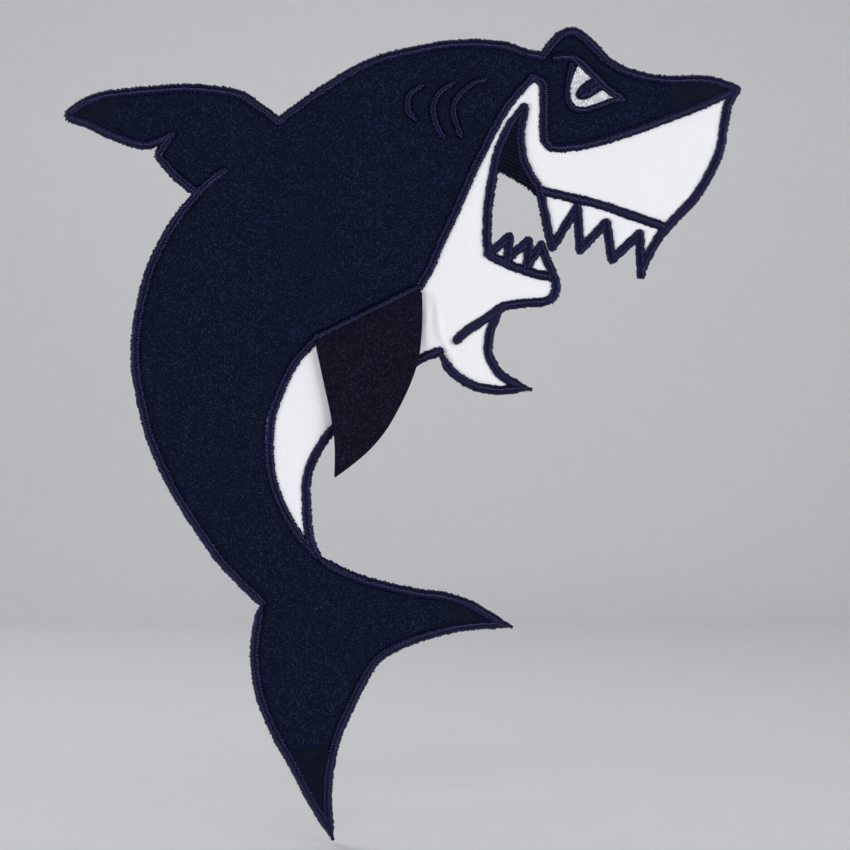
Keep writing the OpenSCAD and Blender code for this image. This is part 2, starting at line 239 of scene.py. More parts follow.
TAIL_NOTCH = (-10, -109)
LOWER_TIP = (15, -193.5)
UPPER_TIP = (79, -117.5)
BELLY_CORNER = (9.5, -92)
TAIL_LOWER = curve(
    TAIL_NOTCH, (-12, -118), (-13, -128), (-11.5, -140.5), (-8.5, -149.5), (-4, -159),
    (2, -169.5), (7, -179.5), (13, -189.5), LOWER_TIP)
TAIL_INNER = curve(
    LOWER_TIP, (13.5, -183.5), (13.5, -177), (14.5, -167.5), (17.5, -156), (22, -146),
    (27, -136), (31.5, -129.5), (39.5, -124.5), (50.5, -120.5), (61, -118), (72, -117),
    UPPER_TIP)
TAIL_UPPER = curve(
    UPPER_TIP, (73.5, -115), (65, -110), (56, -107), (45, -105.5), (34, -103),
    (23.5, -100), (14, -95.5), BELLY_CORNER)

BACK_STEP = (-33.5, 38.5)
BACK = curve(
    BACK_STEP, (-40.5, 30), (-47, 19), (-51.5, 8.5), (-55, -7), (-56, -21), (-54.5, -32.5),
    (-50.5, -49.5), (-43.5, -65.5), (-35.5, -79), (-25, -94), (-14.5, -105), TAIL_NOTCH)
LOBE = curve((-44, 58), (-46.5, 54.5), (-47.5, 52), (-45.5, 49.5), (-41, 44.5), BACK_STEP)
DORSAL_NOTCH = (-4, 64.5)
DORSAL = curve(
    (-42.5, 59.5), (-45.5, 58), (-49.5, 56.5), (-54, 56), (-63, 59), (-74, 64),
    (DRAWN_LEFT, 66.5), (-75.5, 70.5), (-68.5, 73.5), (-57.5, 75), (-47, 76), (-36, 76.5),
    (-21.5, 75), (-16, 73), (-11, 69.5), DORSAL_NOTCH)
FOLD = curve(BACK_STEP, (-29, 43), (-24, 46.5))

HEAD_NOTCH = (91, 88)
NOSE = (DRAWN_RIGHT, 76)
STRIP_PEAK = (87.5, 80.5)
SEAM_START = at(9.5, -13.5)
SEAM_END = at(46, 4.5)
CROWN = curve(
    DORSAL_NOTCH, (0, 67.5), (9, 74), (21.5, 82), (32.5, 87), (47, 90.5), (61, 92.5),
    (75.5, 92), (85.5, 89), HEAD_NOTCH)
HEAD = curve(
    HEAD_NOTCH, (94.5, 92.5), (97.5, 95.5), (101.5, DRAWN_TOP), (105, 95.5), (109.5, 91.5),
    (115.5, 85.5), (124, 81.5), (135, 79.5), (149.5, 79.5), (157.5, 77.5), NOSE)
SNOUT = curve(
    NOSE, (147.5, 70), (133, 64.5), (119, 59.5), (106, 56), (96.5, 55), (92.5, 56.5),
    (91.5, 60.5), (91.5, 66.5), (91.5, 74), (91, 78.5), STRIP_PEAK)
NECK = curve(
    STRIP_PEAK, (83.5, 76.5), (78.5, 70.5), (74, 63), (70, 55), (66, 47), (62.5, 39),
    (58.5, 30), (54, 20.5), (50.5, 12), (46, 4.5))
SNOUT_FRONT = curve(
    NOSE, (158, 70.5), (156.5, 63), (155, 54), (151, 45), (146, 37), (139.5, 30), (134, 24),
    (130, 17.5), (127, 11.5), (126.5, 9))

MOUTH_CORNER = (84.5, 69.5)
LIP_CORNER = (71.5, 16.5)
TOOTH_START = (94.5, 19)
LAST_TOOTH = (90.5, 20)
MOUTH_LEFT = curve(
    MOUTH_CORNER, (81.5, 66), (79, 62.5), (75, 53.5), (73, 44), (71.5, 34), (71, 23.5),
    LIP_CORNER)
MOUTH_RIGHT = curve(
    MOUTH_CORNER, (83, 59.5), (84, 50.5), (87.5, 43.5), (89.5, 40.5), (91.5, 32.5),
    (93, 25), TOOTH_START)
MOUTH_RIM = curve((89.5, 37.5), (86, 41), (80.5, 44.5), (73.5, 48.5))
UPPER_TEETH = [at(*p) for p in (
    TOOTH_START, (103.5, 33.5), (104.5, 18), (114, 28), (116, 14.5), (126, 24), (126.5, 9))]
GUM = curve((90.5, 39.5), (99, 37.5), (111.5, 34.5), (126, 29.5), (135, 26.5))
LOWER_TEETH = [at(*p) for p in (
    LIP_CORNER, (79, 23), (78.5, 15), (86, 21.5), (85.5, 12.5), LAST_TOOTH)]
LIP = curve(LIP_CORNER, (78.5, 13), (86.5, 10), (93.5, 8.5))
THROAT_TOP = (76.5, -2.5)
CHIN = curve(
    LAST_TOOTH, (93, 13.5), (94.5, 10), (96, 5.5), (95, 1.5), (92, -0.5), (86.5, -1),
    (81, -1.5), THROAT_TOP)
THROAT = curve(THROAT_TOP, (70, -7), (63, -11.5), (60, -14.5))

FIN_BACK = (54, -18.5)
FAR_FIN_TIP = (86, -32)
FAR_FIN_LOW = curve(FIN_BACK, (58, -25.5), (66.5, -31), (75.5, -32.5), (81, -32), FAR_FIN_TIP)
FAR_FIN_FRONT = curve(
    FAR_FIN_TIP, (81, -30), (75.5, -26.5), (72, -20.5), (71.5, -17), (72.5, -10), THROAT_TOP)
BELLY_EDGE = curve(
    BELLY_CORNER, (7, -85.5), (6, -75.5), (6, -65), (9, -56), (15.5, -46.5), (30.5, -31.5),
    (46.5, -21.5), FIN_BACK)
BELLY = curve(
    (9.5, -13.5), (1.5, -22.5), (-3.5, -32.5), (-7, -43), (-7.5, -56), (-6, -66.5),
    (-1.5, -77.5), (3.5, -85.5), BELLY_CORNER)

GILL_1 = curve((47, 77), (43, 74), (42.5, 68.5), (45, 65.5))
GILL_2 = curve((58.5, 78), (54, 75), (51.5, 69.5), (52.5, 64), (55, 59))
GILL_3 = curve((70, 79.5), (65, 77.5), (60, 72.5), (59, 67), (61.5, 59.5))
BROW = curve((96, 87.5), (102, 87.5), (107.5, 83), (114, 76.5), (119.5, 72.5))
EYE_RING = curve(
    (101.5, 84.5), (100.5, 79), (100, 75), (101, 70.5), (104.5, 68.5), (110, 69.5),
    (115, 71.5), (119, 72.5))
EYE_FIELD = [at(*p) for p in (
    (104, 85), (101, 78), (100.5, 72.5), (103, 70), (106, 69.5), (117, 73), (112, 78),
    (106, 84))]
PUPIL = curve(
    (109.5, 80.5), (105, 77.5), (103, 74.5), (104, 72.5), (107, 72.5), (112, 75.5), (114, 77))

NAVY_OUTLINE = (
    CROWN + HEAD + SNOUT + NECK + [SEAM_START] + BELLY + TAIL_UPPER[::-1] + TAIL_INNER[::-1]
    + TAIL_LOWER[::-1] + BACK[::-1] + LOBE[::-1] + DORSAL)
WHITE_OUTLINE = (
    NECK[::-1] + SNOUT[::-1] + SNOUT_FRONT + UPPER_TEETH[::-1] + MOUTH_RIGHT[::-1] + MOUTH_LEFT
    + LOWER_TEETH + CHIN + FAR_FIN_FRONT[::-1] + FAR_FIN_LOW[::-1] + BELLY_EDGE[::-1]
    + BELLY[::-1])

# The fin's own directions: along its seam, and down from it.
ALONG = (SEAM_END - SEAM_START).normalized()
DOWN = Vector((ALONG.y, -ALONG.x))
JOINT = frame["joints"][0]
HINGE_START = Vector((JOINT["pos_m"][0], JOINT["pos_m"][2]))
HINGE_DROP = (HINGE_START - SEAM_START).dot(DOWN)
HINGE_LEN = (SEAM_END - SEAM_START).length + 2 * MM
FLAP_LEN = max(
    (Vector((v.co.x, v.co.z)) - HINGE_START).dot(DOWN)
    for v in frame["nodes"]["pectoral_fin_flap"].data.vertices)


def satin_run(line, high="both", lift=0.0, points=False):
    """One run of satin: its line, the side where it climbs over cloth, its height over what it
    crosses, and whether its ends taper to a point."""
    line = line[::-1] if high == "right" else line
    return {"line": line, "edge": high != "both", "lift": lift * MM, "points": points}


def zigzag(corners, **settings):
    """Every leg of a zigzag as a run of its own, each second one laid over the first."""
    return [
        satin_run([a, a.lerp(b, 0.5), b], lift=0.12 * (i % 2), **settings)
        for i, (a, b) in enumerate(zip(corners, corners[1:]))]


SATIN = {
    "back_edge": [satin_run(LOBE, "left", 0.2), satin_run(BACK, "left", 0.1)],
    "dorsal_fin_edge": [satin_run(DORSAL, "right", 0.1)],
    "crown_edge": [satin_run(CROWN, "right")],
    "head_edge": [satin_run(HEAD, "right", 0.06)],
    "snout_line": [satin_run(SNOUT)],
    "neck_line": [satin_run(NECK, "left")],
    "belly_line": [satin_run(BELLY, "left")],
    "belly_edge": [satin_run(BELLY_EDGE, "left")],
    "far_fin_edge": [
        satin_run(FAR_FIN_LOW, "left", 0.1, points=True),
        satin_run(FAR_FIN_FRONT, "left", 0.02, points=True)],
    "throat_line": [satin_run(THROAT)],
    "chin_line": [satin_run(CHIN, "right", 0.15)],
    "lower_lip_line": [satin_run(LIP)],
    "lower_teeth_edge": zigzag(LOWER_TEETH),
    "mouth_left_line": [satin_run(MOUTH_LEFT, "right", 0.1)],
    "mouth_right_line": [satin_run(MOUTH_RIGHT, "left", 0.2)],
    "upper_teeth_edge": zigzag(UPPER_TEETH),
    "gum_line": [satin_run(GUM)],
    "snout_front_edge": [satin_run(SNOUT_FRONT, "right", 0.1)],
    "tail_lower_edge": [satin_run(TAIL_LOWER, "left", 0.1, points=True)],
    "tail_inner_edge": [satin_run(TAIL_INNER, "left", 0.05, points=True)],
    "tail_upper_edge": [satin_run(TAIL_UPPER, "left", points=True)],
    "dorsal_fold_line": [satin_run(FOLD)],
    "brow_line": [satin_run(BROW, lift=0.15)],
}
FINE_SATIN = {
    "gill_line_1": [satin_run(GILL_1)],
    "gill_line_2": [satin_run(GILL_2)],
    "gill_line_3": [satin_run(GILL_3)],
    "eye_outline": [satin_run(EYE_RING)],
}

ALL_RUNS = [run for runs in (SATIN, FINE_SATIN) for piece in runs.values() for run in piece]

# ---------------------------------------------------------------- nodes and materials


def add(tree, kind, inputs=None, **settings):
    """Adds a node with its settings, and sets or links its inputs. A node given for an input
    links its first output."""
    node = tree.nodes.new(kind)
    for name, value in settings.items():
        setattr(node, name, value)
    for name, value in (inputs or {}).items():
        if isinstance(value, bpy.types.Node):
            value = value.outputs[0]
        if isinstance(value, bpy.types.NodeSocket):
            tree.links.new(value, node.inputs[name])
        else:
            node.inputs[name].default_value = value
    return node


def new_material(name, **sockets):
    """A material with a Principled shader whose constants are set on its own sockets. Returns
    it with its tree, its shader and the point on the piece in metres."""
    material = bpy.data.materials.new(name)
    material.use_nodes = True
    tree = material.node_tree
    shader = tree.nodes["Principled BSDF"]
    for socket, value in sockets.items():
        shader.inputs[socket.replace("_", " ")].default_value = value
    return material, tree, shader, add(tree, "ShaderNodeTexCoord").outputs["Object"]


def show_surface(tree, shader, share, dark, light, height, strength, relief):
    """Colours the shader from dark to light by the share, and raises its surface by the height,
    up to the relief in metres."""
    mix = add(tree, "ShaderNodeMix", {0: share, 6: dark, 7: light}, data_type="RGBA")
    bump = add(tree, "ShaderNodeBump", {"Strength": strength, "Distance": relief,
                                        "Height": height})
    tree.links.new(mix.outputs[2], shader.inputs["Base Color"])
    tree.links.new(bump.outputs[0], shader.inputs["Normal"])


def darker(tone, share):
    """The tone with less light, down to the share."""
    return [value * share for value in tone[:3]] + [1]


# Sizes of the patterns in the cloth and thread. Real fibres are 0.02 mm thick, too fine to show,
# so tufts, flecks and twists are drawn coarser.
WALE_DRIFT = 11 * MM
COTTON_TUFT = 0.7 * MM
COTTON_FLECK = 0.6 * MM
THREAD_TWIST = 0.52 * MM
WOOL_TANGLE = 0.8 * MM
WOOL_CLUMP = 3.8 * MM
FIBRE_CLOUD = 6 * MM
FIBRE_WEB = 0.75 * MM
PAPER_CLOUD = 16 * MM


def jersey_material(name, base, fleck, groove_shade, cloth, flecks):
    """Single jersey knitted from matt cotton. The eye sees fine upright wales made of small slanted
    loops, grooves between them, and a few lighter fibres. The grooves are also coloured darker, as
    painted shade."""
    material, tree, shader, point = new_material(
        name, Roughness=0.95, Specular_IOR_Level=0.04)
    drift = add(tree, "ShaderNodeTexNoise", {"Vector": point, "Scale": 1 / WALE_DRIFT,
                                             "Detail": 1})
    axes = add(tree, "ShaderNodeSeparateXYZ", {0: point}).outputs
    bend = add(tree, "ShaderNodeMath", {0: drift, 1: 0.6 * MM, 2: axes["X"]},
               operation="MULTIPLY_ADD")
    # 0 in a groove between two wales, 1 along the middle of a wale.
    wale = add(tree, "ShaderNodeMath", {0: bend, 1: cloth.wale / 2}, operation="PINGPONG")
    across = add(tree, "ShaderNodeMath", {0: wale, 1: 2 / cloth.wale}, operation="MULTIPLY")
    # The two legs of each loop slant down to the middle of the wale.
    slant = add(tree, "ShaderNodeMath", {0: across, 1: cloth.course * 0.6, 2: axes["Z"]},
                operation="MULTIPLY_ADD")
    loop = add(tree, "ShaderNodeMath", {0: slant, 1: cloth.course / 2}, operation="PINGPONG")
    legs = add(tree, "ShaderNodeMath", {0: loop, 1: 2 / cloth.course}, operation="MULTIPLY")
    stitches = add(tree, "ShaderNodeMath", {0: across, 1: 0.7, 2: legs},
                   operation="MULTIPLY_ADD")
    tufts = add(tree, "ShaderNodeTexNoise", {"Vector": point, "Scale": 1 / COTTON_TUFT,
                                             "Detail": 3, "Roughness": 0.7})
    height = add(tree, "ShaderNodeMath", {0: tufts, 1: 0.8, 2: stitches},
                 operation="MULTIPLY_ADD")
    specks = add(tree, "ShaderNodeTexNoise", {"Vector": point, "Scale": 1 / COTTON_FLECK,
                                              "Detail": 2})
    share = add(tree, "ShaderNodeMapRange", {0: specks, 1: 0.52, 2: 0.78, 3: 0, 4: flecks})
    yarn = add(tree, "ShaderNodeMix", {0: share, 6: base, 7: fleck}, data_type="RGBA")
    # Painted shade: the grooves take up to 0.4 of the darker groove colour.
    shade = add(tree, "ShaderNodeMapRange", {0: across, 1: 0.1, 2: 0.75, 3: 0.4, 4: 0})
    show_surface(tree, shader, shade, yarn.outputs[2], groove_shade, height, 0.45, 0.12 * MM)
    return material


def thread_material(name, dark, light, **sockets):
    """Polyester embroidery thread, bright and slightly twisted. Every thread has its own tone,
    and the light runs along the crest of each one."""
    material, tree, shader, point = new_material(name, **sockets)
    tone = add(tree, "ShaderNodeAttribute", attribute_name="tone").outputs["Fac"]
    twist = add(tree, "ShaderNodeTexNoise", {"Vector": point, "Scale": 1 / THREAD_TWIST,
                                             "Detail": 2})
    blend = add(tree, "ShaderNodeMath", {0: tone, 1: twist}, operation="MULTIPLY")
    share = add(tree, "ShaderNodeMath", {0: blend, 1: 1.9}, operation="MULTIPLY",
                use_clamp=True)
    show_surface(tree, shader, share, dark, light, twist, 0.3, 0.05 * MM)
    return material


def satin_material(colours):
    """Navy polyester thread laid side by side. It looks glossy, with a blue sheen where a
    thread turns to the light."""
    name = "navy_polyester_satin_thread"
    return bpy.data.materials.get(name) or thread_material(
        name, colours.satin_dark, colours.satin_light, Roughness=0.23, Specular_IOR_Level=0.5,
        Specular_Tint=colours.satin_shine)


def fill_material(colours):
    """The same thread in short stitches that break up the light, so it looks darker and duller."""
    name = "navy_polyester_fill_thread"
    return bpy.data.materials.get(name) or thread_material(
        name, colours.fill_dark, colours.fill_light, Roughness=0.5, Specular_IOR_Level=0.12,
        Specular_Tint=colours.fill_shine)


def felt_material(colours):
    """Brushed wool felt, matt and dark. The eye sees a grain of tangled fibres and no weave. The
    specks where the fibres catch the light are painted lighter, as painted glints."""
    material, tree, shader, point = new_material(
        "brushed_wool_felt", Roughness=0.97, Specular_IOR_Level=0.06)
    tangle = add(tree, "ShaderNodeTexNoise", {
        "Vector": point, "Scale": 1 / WOOL_TANGLE, "Detail": 3, "Roughness": 0.75,
        "Distortion": 1.5})
    clumps = add(tree, "ShaderNodeTexNoise", {"Vector": point, "Scale": 1 / WOOL_CLUMP,
                                              "Detail": 2})
    grain = add(tree, "ShaderNodeMath", {0: clumps, 1: 0.07, 2: tangle},
                operation="MULTIPLY_ADD")
    # Painted glints: the highest grain takes the lighter fleck colour.
    share = add(tree, "ShaderNodeMapRange", {0: grain, 1: 0.54, 2: 0.78, 3: 0, 4: 1})
    show_surface(tree, shader, share, colours.felt, colours.felt_glint_fleck, grain, 1.0, 0.3 * MM)
    return material


def stabiliser_material(colours):
    """Cutaway stabiliser, a pressed sheet of long polyester fibres. It looks papery and matt,
    with cloudy thick and thin places and a web of crossing fibres."""
    material, tree, shader, point = new_material(
        "nonwoven_stabiliser", Roughness=0.85, Specular_IOR_Level=0.2)
    clouds = add(tree, "ShaderNodeTexNoise", {"Vector": point, "Scale": 1 / FIBRE_CLOUD,
                                              "Detail": 3})
    fibres = []
    for turn, stretch in ((0.6, (1, 1, 0.18)), (-0.9, (0.18, 1, 1))):
        way = add(tree, "ShaderNodeMapping", {"Vector": point, "Rotation": (0, turn, 0),
                                              "Scale": stretch})
        fibres.append(add(tree, "ShaderNodeTexNoise", {
            "Vector": way, "Scale": 1 / FIBRE_WEB, "Detail": 2, "Distortion": 0.8}))
    web = add(tree, "ShaderNodeMath", {0: fibres[0], 1: fibres[1]}, operation="MAXIMUM")
    thick = add(tree, "ShaderNodeMath", {0: clouds, 1: web}, operation="MULTIPLY")
    share = add(tree, "ShaderNodeMapRange", {0: thick, 1: 0.2, 2: 0.42, 3: 0, 4: 1})
    show_surface(tree, shader, share, darker(colours.backing, 0.8), colours.backing, web, 0.5,
                 0.1 * MM)
    return material


def paper_material(colours):
    """Matt seamless backdrop paper with a faint grain."""
    material, tree, shader, point = new_material(
        "backdrop_paper", Roughness=0.95, Specular_IOR_Level=0.05)
    grain = add(tree, "ShaderNodeTexNoise", {"Vector": point, "Scale": 1 / PAPER_CLOUD})
    sheet = add(tree, "ShaderNodeMix", {
        0: grain, 6: darker(colours.paper, 0.97), 7: colours.paper}, data_type="RGBA")
    tree.links.new(sheet.outputs[2], shader.inputs["Base Color"])
    return material


# ---------------------------------------------------------------- threads


def new_tree(name, sizes):
    """An empty node tree whose inputs are a geometry, then each named size with its kind."""
    tree = bpy.data.node_groups.new(name, "GeometryNodeTree")
    tree.interface.new_socket("Geometry", in_out="OUTPUT", socket_type="NodeSocketGeometry")
    tree.interface.new_socket("Geometry", in_out="INPUT", socket_type="NodeSocketGeometry")
    for size, kind in sizes.items():
        tree.interface.new_socket(size, in_out="INPUT", socket_type="NodeSocket" + kind)
    return tree, add(tree, "NodeGroupInput").outputs, add(tree, "NodeGroupOutput")


THREAD_SIZES = {
    "Front": "Vector", "Left foot": "Vector", "Left crest": "Vector", "Right crest": "Vector",
    "Right foot": "Vector", "Flat top": "Float", "Thread": "Float", "Rings": "Int", "Sides": "Int",
    "Fray": "Float", "Lean": "Float", "Seed": "Int", "Material": "Material"}


def lay_threads(tree, given, points, along, output):
    """Lays one arched thread on every point, square to along, and finishes the tree. A point's
    share attribute shortens its thread, and its lift attribute raises it."""
    arch = add(tree, "GeometryNodeCurvePrimitiveBezierSegment", {
        "Resolution": given["Rings"], "Start": given["Left foot"],
        "Start Handle": given["Left crest"], "End Handle": given["Right crest"],
        "End": given["Right foot"]})
    # The arch is cut off level, so the light catches a thin line at each shoulder of it.
    ceiling = add(tree, "ShaderNodeCombineXYZ", {"X": 1.0, "Y": 1.0, "Z": given["Flat top"]})
    lowered = add(tree, "ShaderNodeVectorMath", {
        0: add(tree, "GeometryNodeInputPosition"), 1: ceiling}, operation="MINIMUM")
    level = add(tree, "GeometryNodeSetPosition", {"Geometry": arch, "Position": lowered})
    section = add(tree, "GeometryNodeCurvePrimitiveCircle", {
        "Resolution": given["Sides"], "Radius": given["Thread"]})
    thread = add(tree, "GeometryNodeCurveToMesh", {
        "Curve": level, "Profile Curve": section, "Fill Caps": True})

    # Every thread draws five random numbers of its own.
    ranges = {"lean": (-1.0, 1.0), "fray": (-1.0, 1.0), "rise": (0.93, 1.07),
              "slide": (-1.0, 1.0), "tone": (0.15, 1.0)}
    drawn = {}
    for i, (name, (low, high)) in enumerate(ranges.items()):
        seed = add(tree, "FunctionNodeIntegerMath", {0: given["Seed"], 1: i + 1})
        drawn[name] = add(tree, "FunctionNodeRandomValue", {2: low, 3: high, 8: seed},
                          data_type="FLOAT").outputs[1]

    across = add(tree, "ShaderNodeVectorMath", {0: along, 1: given["Front"]},
                 operation="CROSS_PRODUCT")
    lean = add(tree, "ShaderNodeMath", {0: drawn["lean"], 1: given["Lean"]},
               operation="MULTIPLY")
    slope = add(tree, "ShaderNodeVectorMath", {0: along, 3: lean}, operation="SCALE")
    leaned = add(tree, "ShaderNodeVectorMath", {0: across, 1: slope})
    turned = add(tree, "FunctionNodeAxesToRotation", {
        "Primary Axis": given["Front"], "Secondary Axis": leaned},
        primary_axis="Z", secondary_axis="X")

    share = add(tree, "GeometryNodeInputNamedAttribute", {"Name": "share"})
    fray = add(tree, "ShaderNodeMath", {0: drawn["fray"], 1: given["Fray"], 2: 1.0},
               operation="MULTIPLY_ADD")
    stretch = add(tree, "ShaderNodeMath", {0: fray, 1: share}, operation="MULTIPLY")
    size = add(tree, "ShaderNodeCombineXYZ", {"X": stretch, "Y": 1.0, "Z": drawn["rise"]})

    lift = add(tree, "GeometryNodeInputNamedAttribute", {"Name": "lift"})
    raised = add(tree, "ShaderNodeVectorMath", {0: given["Front"], 3: lift}, operation="SCALE")
    reach = add(tree, "ShaderNodeVectorMath", {0: given["Right foot"]}, operation="LENGTH")
    slide = add(tree, "ShaderNodeMath", {0: drawn["slide"], 1: given["Fray"]},
                operation="MULTIPLY")
    slip = add(tree, "ShaderNodeMath", {0: slide, 1: reach.outputs["Value"]},
               operation="MULTIPLY")
    slid = add(tree, "ShaderNodeVectorMath", {0: across, 3: slip}, operation="SCALE")
    offset = add(tree, "ShaderNodeVectorMath", {0: raised, 1: slid})
    placed = add(tree, "GeometryNodeSetPosition", {"Geometry": points, "Offset": offset})

    laid = add(tree, "GeometryNodeInstanceOnPoints", {
        "Points": placed, "Instance": thread, "Rotation": turned, "Scale": size})
    toned = add(tree, "GeometryNodeStoreNamedAttribute", {
        "Geometry": laid, "Name": "tone", "Value": drawn["tone"]},
        data_type="FLOAT", domain="INSTANCE")
    real = add(tree, "GeometryNodeRealizeInstances", {"Geometry": toned})
    smooth = add(tree, "GeometryNodeSetShadeSmooth", {"Geometry": real})
    finished = add(tree, "GeometryNodeSetMaterial", {
        "Geometry": smooth, "Material": given["Material"]})
    tree.links.new(finished.outputs[0], output.inputs[0])
    return tree


def satin_tree():
    """Threads laid side by side along a path."""
    if "satin_stitches" in bpy.data.node_groups:
        return bpy.data.node_groups["satin_stitches"]
    tree, given, output = new_tree("satin_stitches", {"Pitch": "Float", **THREAD_SIZES})
    path = add(tree, "GeometryNodeMeshToCurve", {"Mesh": given["Geometry"]})
    points = add(tree, "GeometryNodeCurveToPoints", {"Curve": path, "Length": given["Pitch"]},
                 mode="LENGTH").outputs
    return lay_threads(tree, given, points["Points"], points["Tangent"], output)


def fill_tree():
    """Threads laid one by one on points that already know their way."""
    if "fill_stitches" in bpy.data.node_groups:
        return bpy.data.node_groups["fill_stitches"]
    tree, given, output = new_tree("fill_stitches", THREAD_SIZES)
    way = add(tree, "GeometryNodeInputNamedAttribute", {"Name": "way"}, data_type="FLOAT_VECTOR")
    points = add(tree, "GeometryNodeMeshToPoints", {"Mesh": given["Geometry"]})
    return lay_threads(tree, given, points, way.outputs[0], output)


def new_object(name, mesh):
    """An object at the origin that holds the mesh."""
    piece = bpy.data.objects.new(name, mesh)
    bpy.context.scene.collection.objects.link(piece)
    return piece


def sewn(name, mesh, tree, padding=None, **sizes):
    """Runs a thread tree on the mesh and keeps the result as a plain mesh, over its padding."""
    guide = new_object(name + "_guide", mesh)
    modifier = guide.modifiers.new("Stitches", "NODES")
    modifier.node_group = tree
    sockets = {item.name: item.identifier for item in tree.interface.items_tree}
    for size, value in sizes.items():
        modifier[sockets[size.replace("_", " ")]] = value
    view = bpy.context.evaluated_depsgraph_get()
    stitches = bpy.data.meshes.new_from_object(
        guide.evaluated_get(view), preserve_all_data_layers=True, depsgraph=view)
    bpy.data.objects.remove(guide)
    bpy.data.meshes.remove(mesh)
    if padding:
        # The padding has no tone attribute, so its tone reads 0 and it takes the thread's deepest
        # colour: painted shade under and between the stitches.
        shape = bmesh.new()
        shape.from_mesh(stitches)
        shape.from_mesh(padding)
        shape.to_mesh(stitches)
        shape.free()
        bpy.data.meshes.remove(padding)
    stitches.materials.clear()
    stitches.materials.append(sizes["Material"])
    stitches.polygons.foreach_set("material_index", [0] * len(stitches.polygons))
    stitches.name = name
    return new_object(name, stitches)


# Shares of a satin line's width: how far it runs on past its ends, how long its pointed ends
# are, and how wide its round and pointed ends finish.
CAP, POINT_RUN = 0.34, 2.2
ROUND_END, POINTED_END = 0.72, 0.3


def ends_eased(line, width, points):
    """The line run on a little past both ends, and the share of the full width at each point."""
    cap = width * CAP
    first, last = (line[0] - line[1]).normalized(), (line[-1] - line[-2]).normalized()
    ends = [0.35, 0.75, 1.0]
    line = ([line[0] + first * cap * e for e in ends[::-1]] + line
            + [line[-1] + last * cap * e for e in ends])
    run = [0.0]
    for a, b in zip(line, line[1:]):
        run.append(run[-1] + (b - a).length)
    narrow, ease = (POINTED_END, POINT_RUN * width) if points else (ROUND_END, cap)
    near = [min(distance, run[-1] - distance) for distance in run]
    return line, [min(1, narrow + (1 - narrow) * distance / ease) for distance in near]


def path_mesh(name, runs, width, y):
    """The runs as bare polylines at one y, with their shares and lifts."""
    vertices, edges, shares, lifts = [], [], [], []
    for run in runs:
        line, eased = ends_eased(run["line"], width, run["points"])
        start = len(vertices)
        vertices += [(p.x, y, p.y) for p in line]
        edges += [(i, i + 1) for i in range(start, len(vertices) - 1)]
        shares += eased
        lifts += [run["lift"]] * len(line)
    mesh = bpy.data.meshes.new(name)
    mesh.from_pydata(vertices, edges, [])
    for attribute, values in (("share", shares), ("lift", lifts)):
        mesh.attributes.new(attribute, "FLOAT", "POINT").data.foreach_set("value", values)
    return mesh


# Section of the padding, as shares of the satin's width and rise.
PADDING = (
    (-0.47, -0.1), (-0.4, 0.28), (-0.22, 0.68), (0.0, 0.78), (0.22, 0.68), (0.4, 0.28),
    (0.47, -0.1))


def padding_mesh(name, runs, width, base, rise, material):
    """Low closed bars under the satin, like the underlay stitches that raise it. They carry no
    tone, so they show the thread's deepest tone, as painted shade under the satin.
    """
    shape = bmesh.new()
    for run in runs:
        line, eased = ends_eased(run["line"], width, run["points"])
        rings = []
        for i, (point, share) in enumerate(zip(line, eased)):
            way = (line[min(i + 1, len(line) - 1)] - line[max(i - 1, 0)]).normalized()
            right = Vector((way.y, -way.x))
            ring = []
            for across, up in PADDING:
                spot = point + right * across * share * width
                height = base + max(up, 0) * rise + run["lift"] * (up > 0)
                ring.append(shape.verts.new((spot.x, -height, spot.y)))
            rings.append(ring)
        for a, b in zip(rings, rings[1:]):
            for i in range(len(PADDING)):
                j = (i + 1) % len(PADDING)
                shape.faces.new((a[i], a[j], b[j], b[i]))
        shape.faces.new(rings[0][::-1])
        shape.faces.new(rings[-1])
    bmesh.ops.recalc_face_normals(shape, faces=shape.faces)
    mesh = bpy.data.meshes.new(name)
    shape.to_mesh(mesh)
    shape.free()
    mesh.materials.append(material)
    return mesh


# The feet of a thread sink this far into the cloth, and its crests would rise to this share of
# its height if it weren't cut off level. At a raw edge the crest leans to the cloth's side, and
# the outer foot drops off the cloth.
FOOT = 0.1 * MM
CREST = 1.55
EDGE_TILT = 0.22
EDGE_DROP = 0.45 * MM


def arch_shape(width, rise, edge=False):
    """Feet and crests of a thread that spans the width, level or over a raw edge."""
    half = width / 2
    tilt, drop = (EDGE_TILT, EDGE_DROP) if edge else (0, 0)
    return {
        "Left_foot": (-half, 0, -FOOT), "Left_crest": (-half * 0.4, 0, rise * (CREST + tilt)),
        "Right_crest": (half * 0.35, 0, rise * (CREST - tilt)),
        "Right_foot": (half, 0, -FOOT - drop), "Flat_top": rise}


def satin_piece(name, node, runs, width, base, front, material, stitching, seed):
    """A satin line sewn over its node's place."""
    radius = stitching.thread / 2
    rise = front - base - radius
    shape = arch_shape(width, rise, any(run["edge"] for run in runs))
    padding = padding_mesh(name + "_padding", runs, width, base, rise * 0.8, material)
    piece = sewn(
        name, path_mesh(name + "_path", runs, width, -base), satin_tree(), padding,
        Pitch=stitching.pitch, Front=tuple(FRONT), Thread=radius, Rings=10, Sides=6,
        Fray=stitching.fray, Lean=stitching.lean, Seed=seed, Material=material, **shape)
    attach(piece, PATCH)
    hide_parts(node)
    return piece


# ---------------------------------------------------------------- areas of stitches


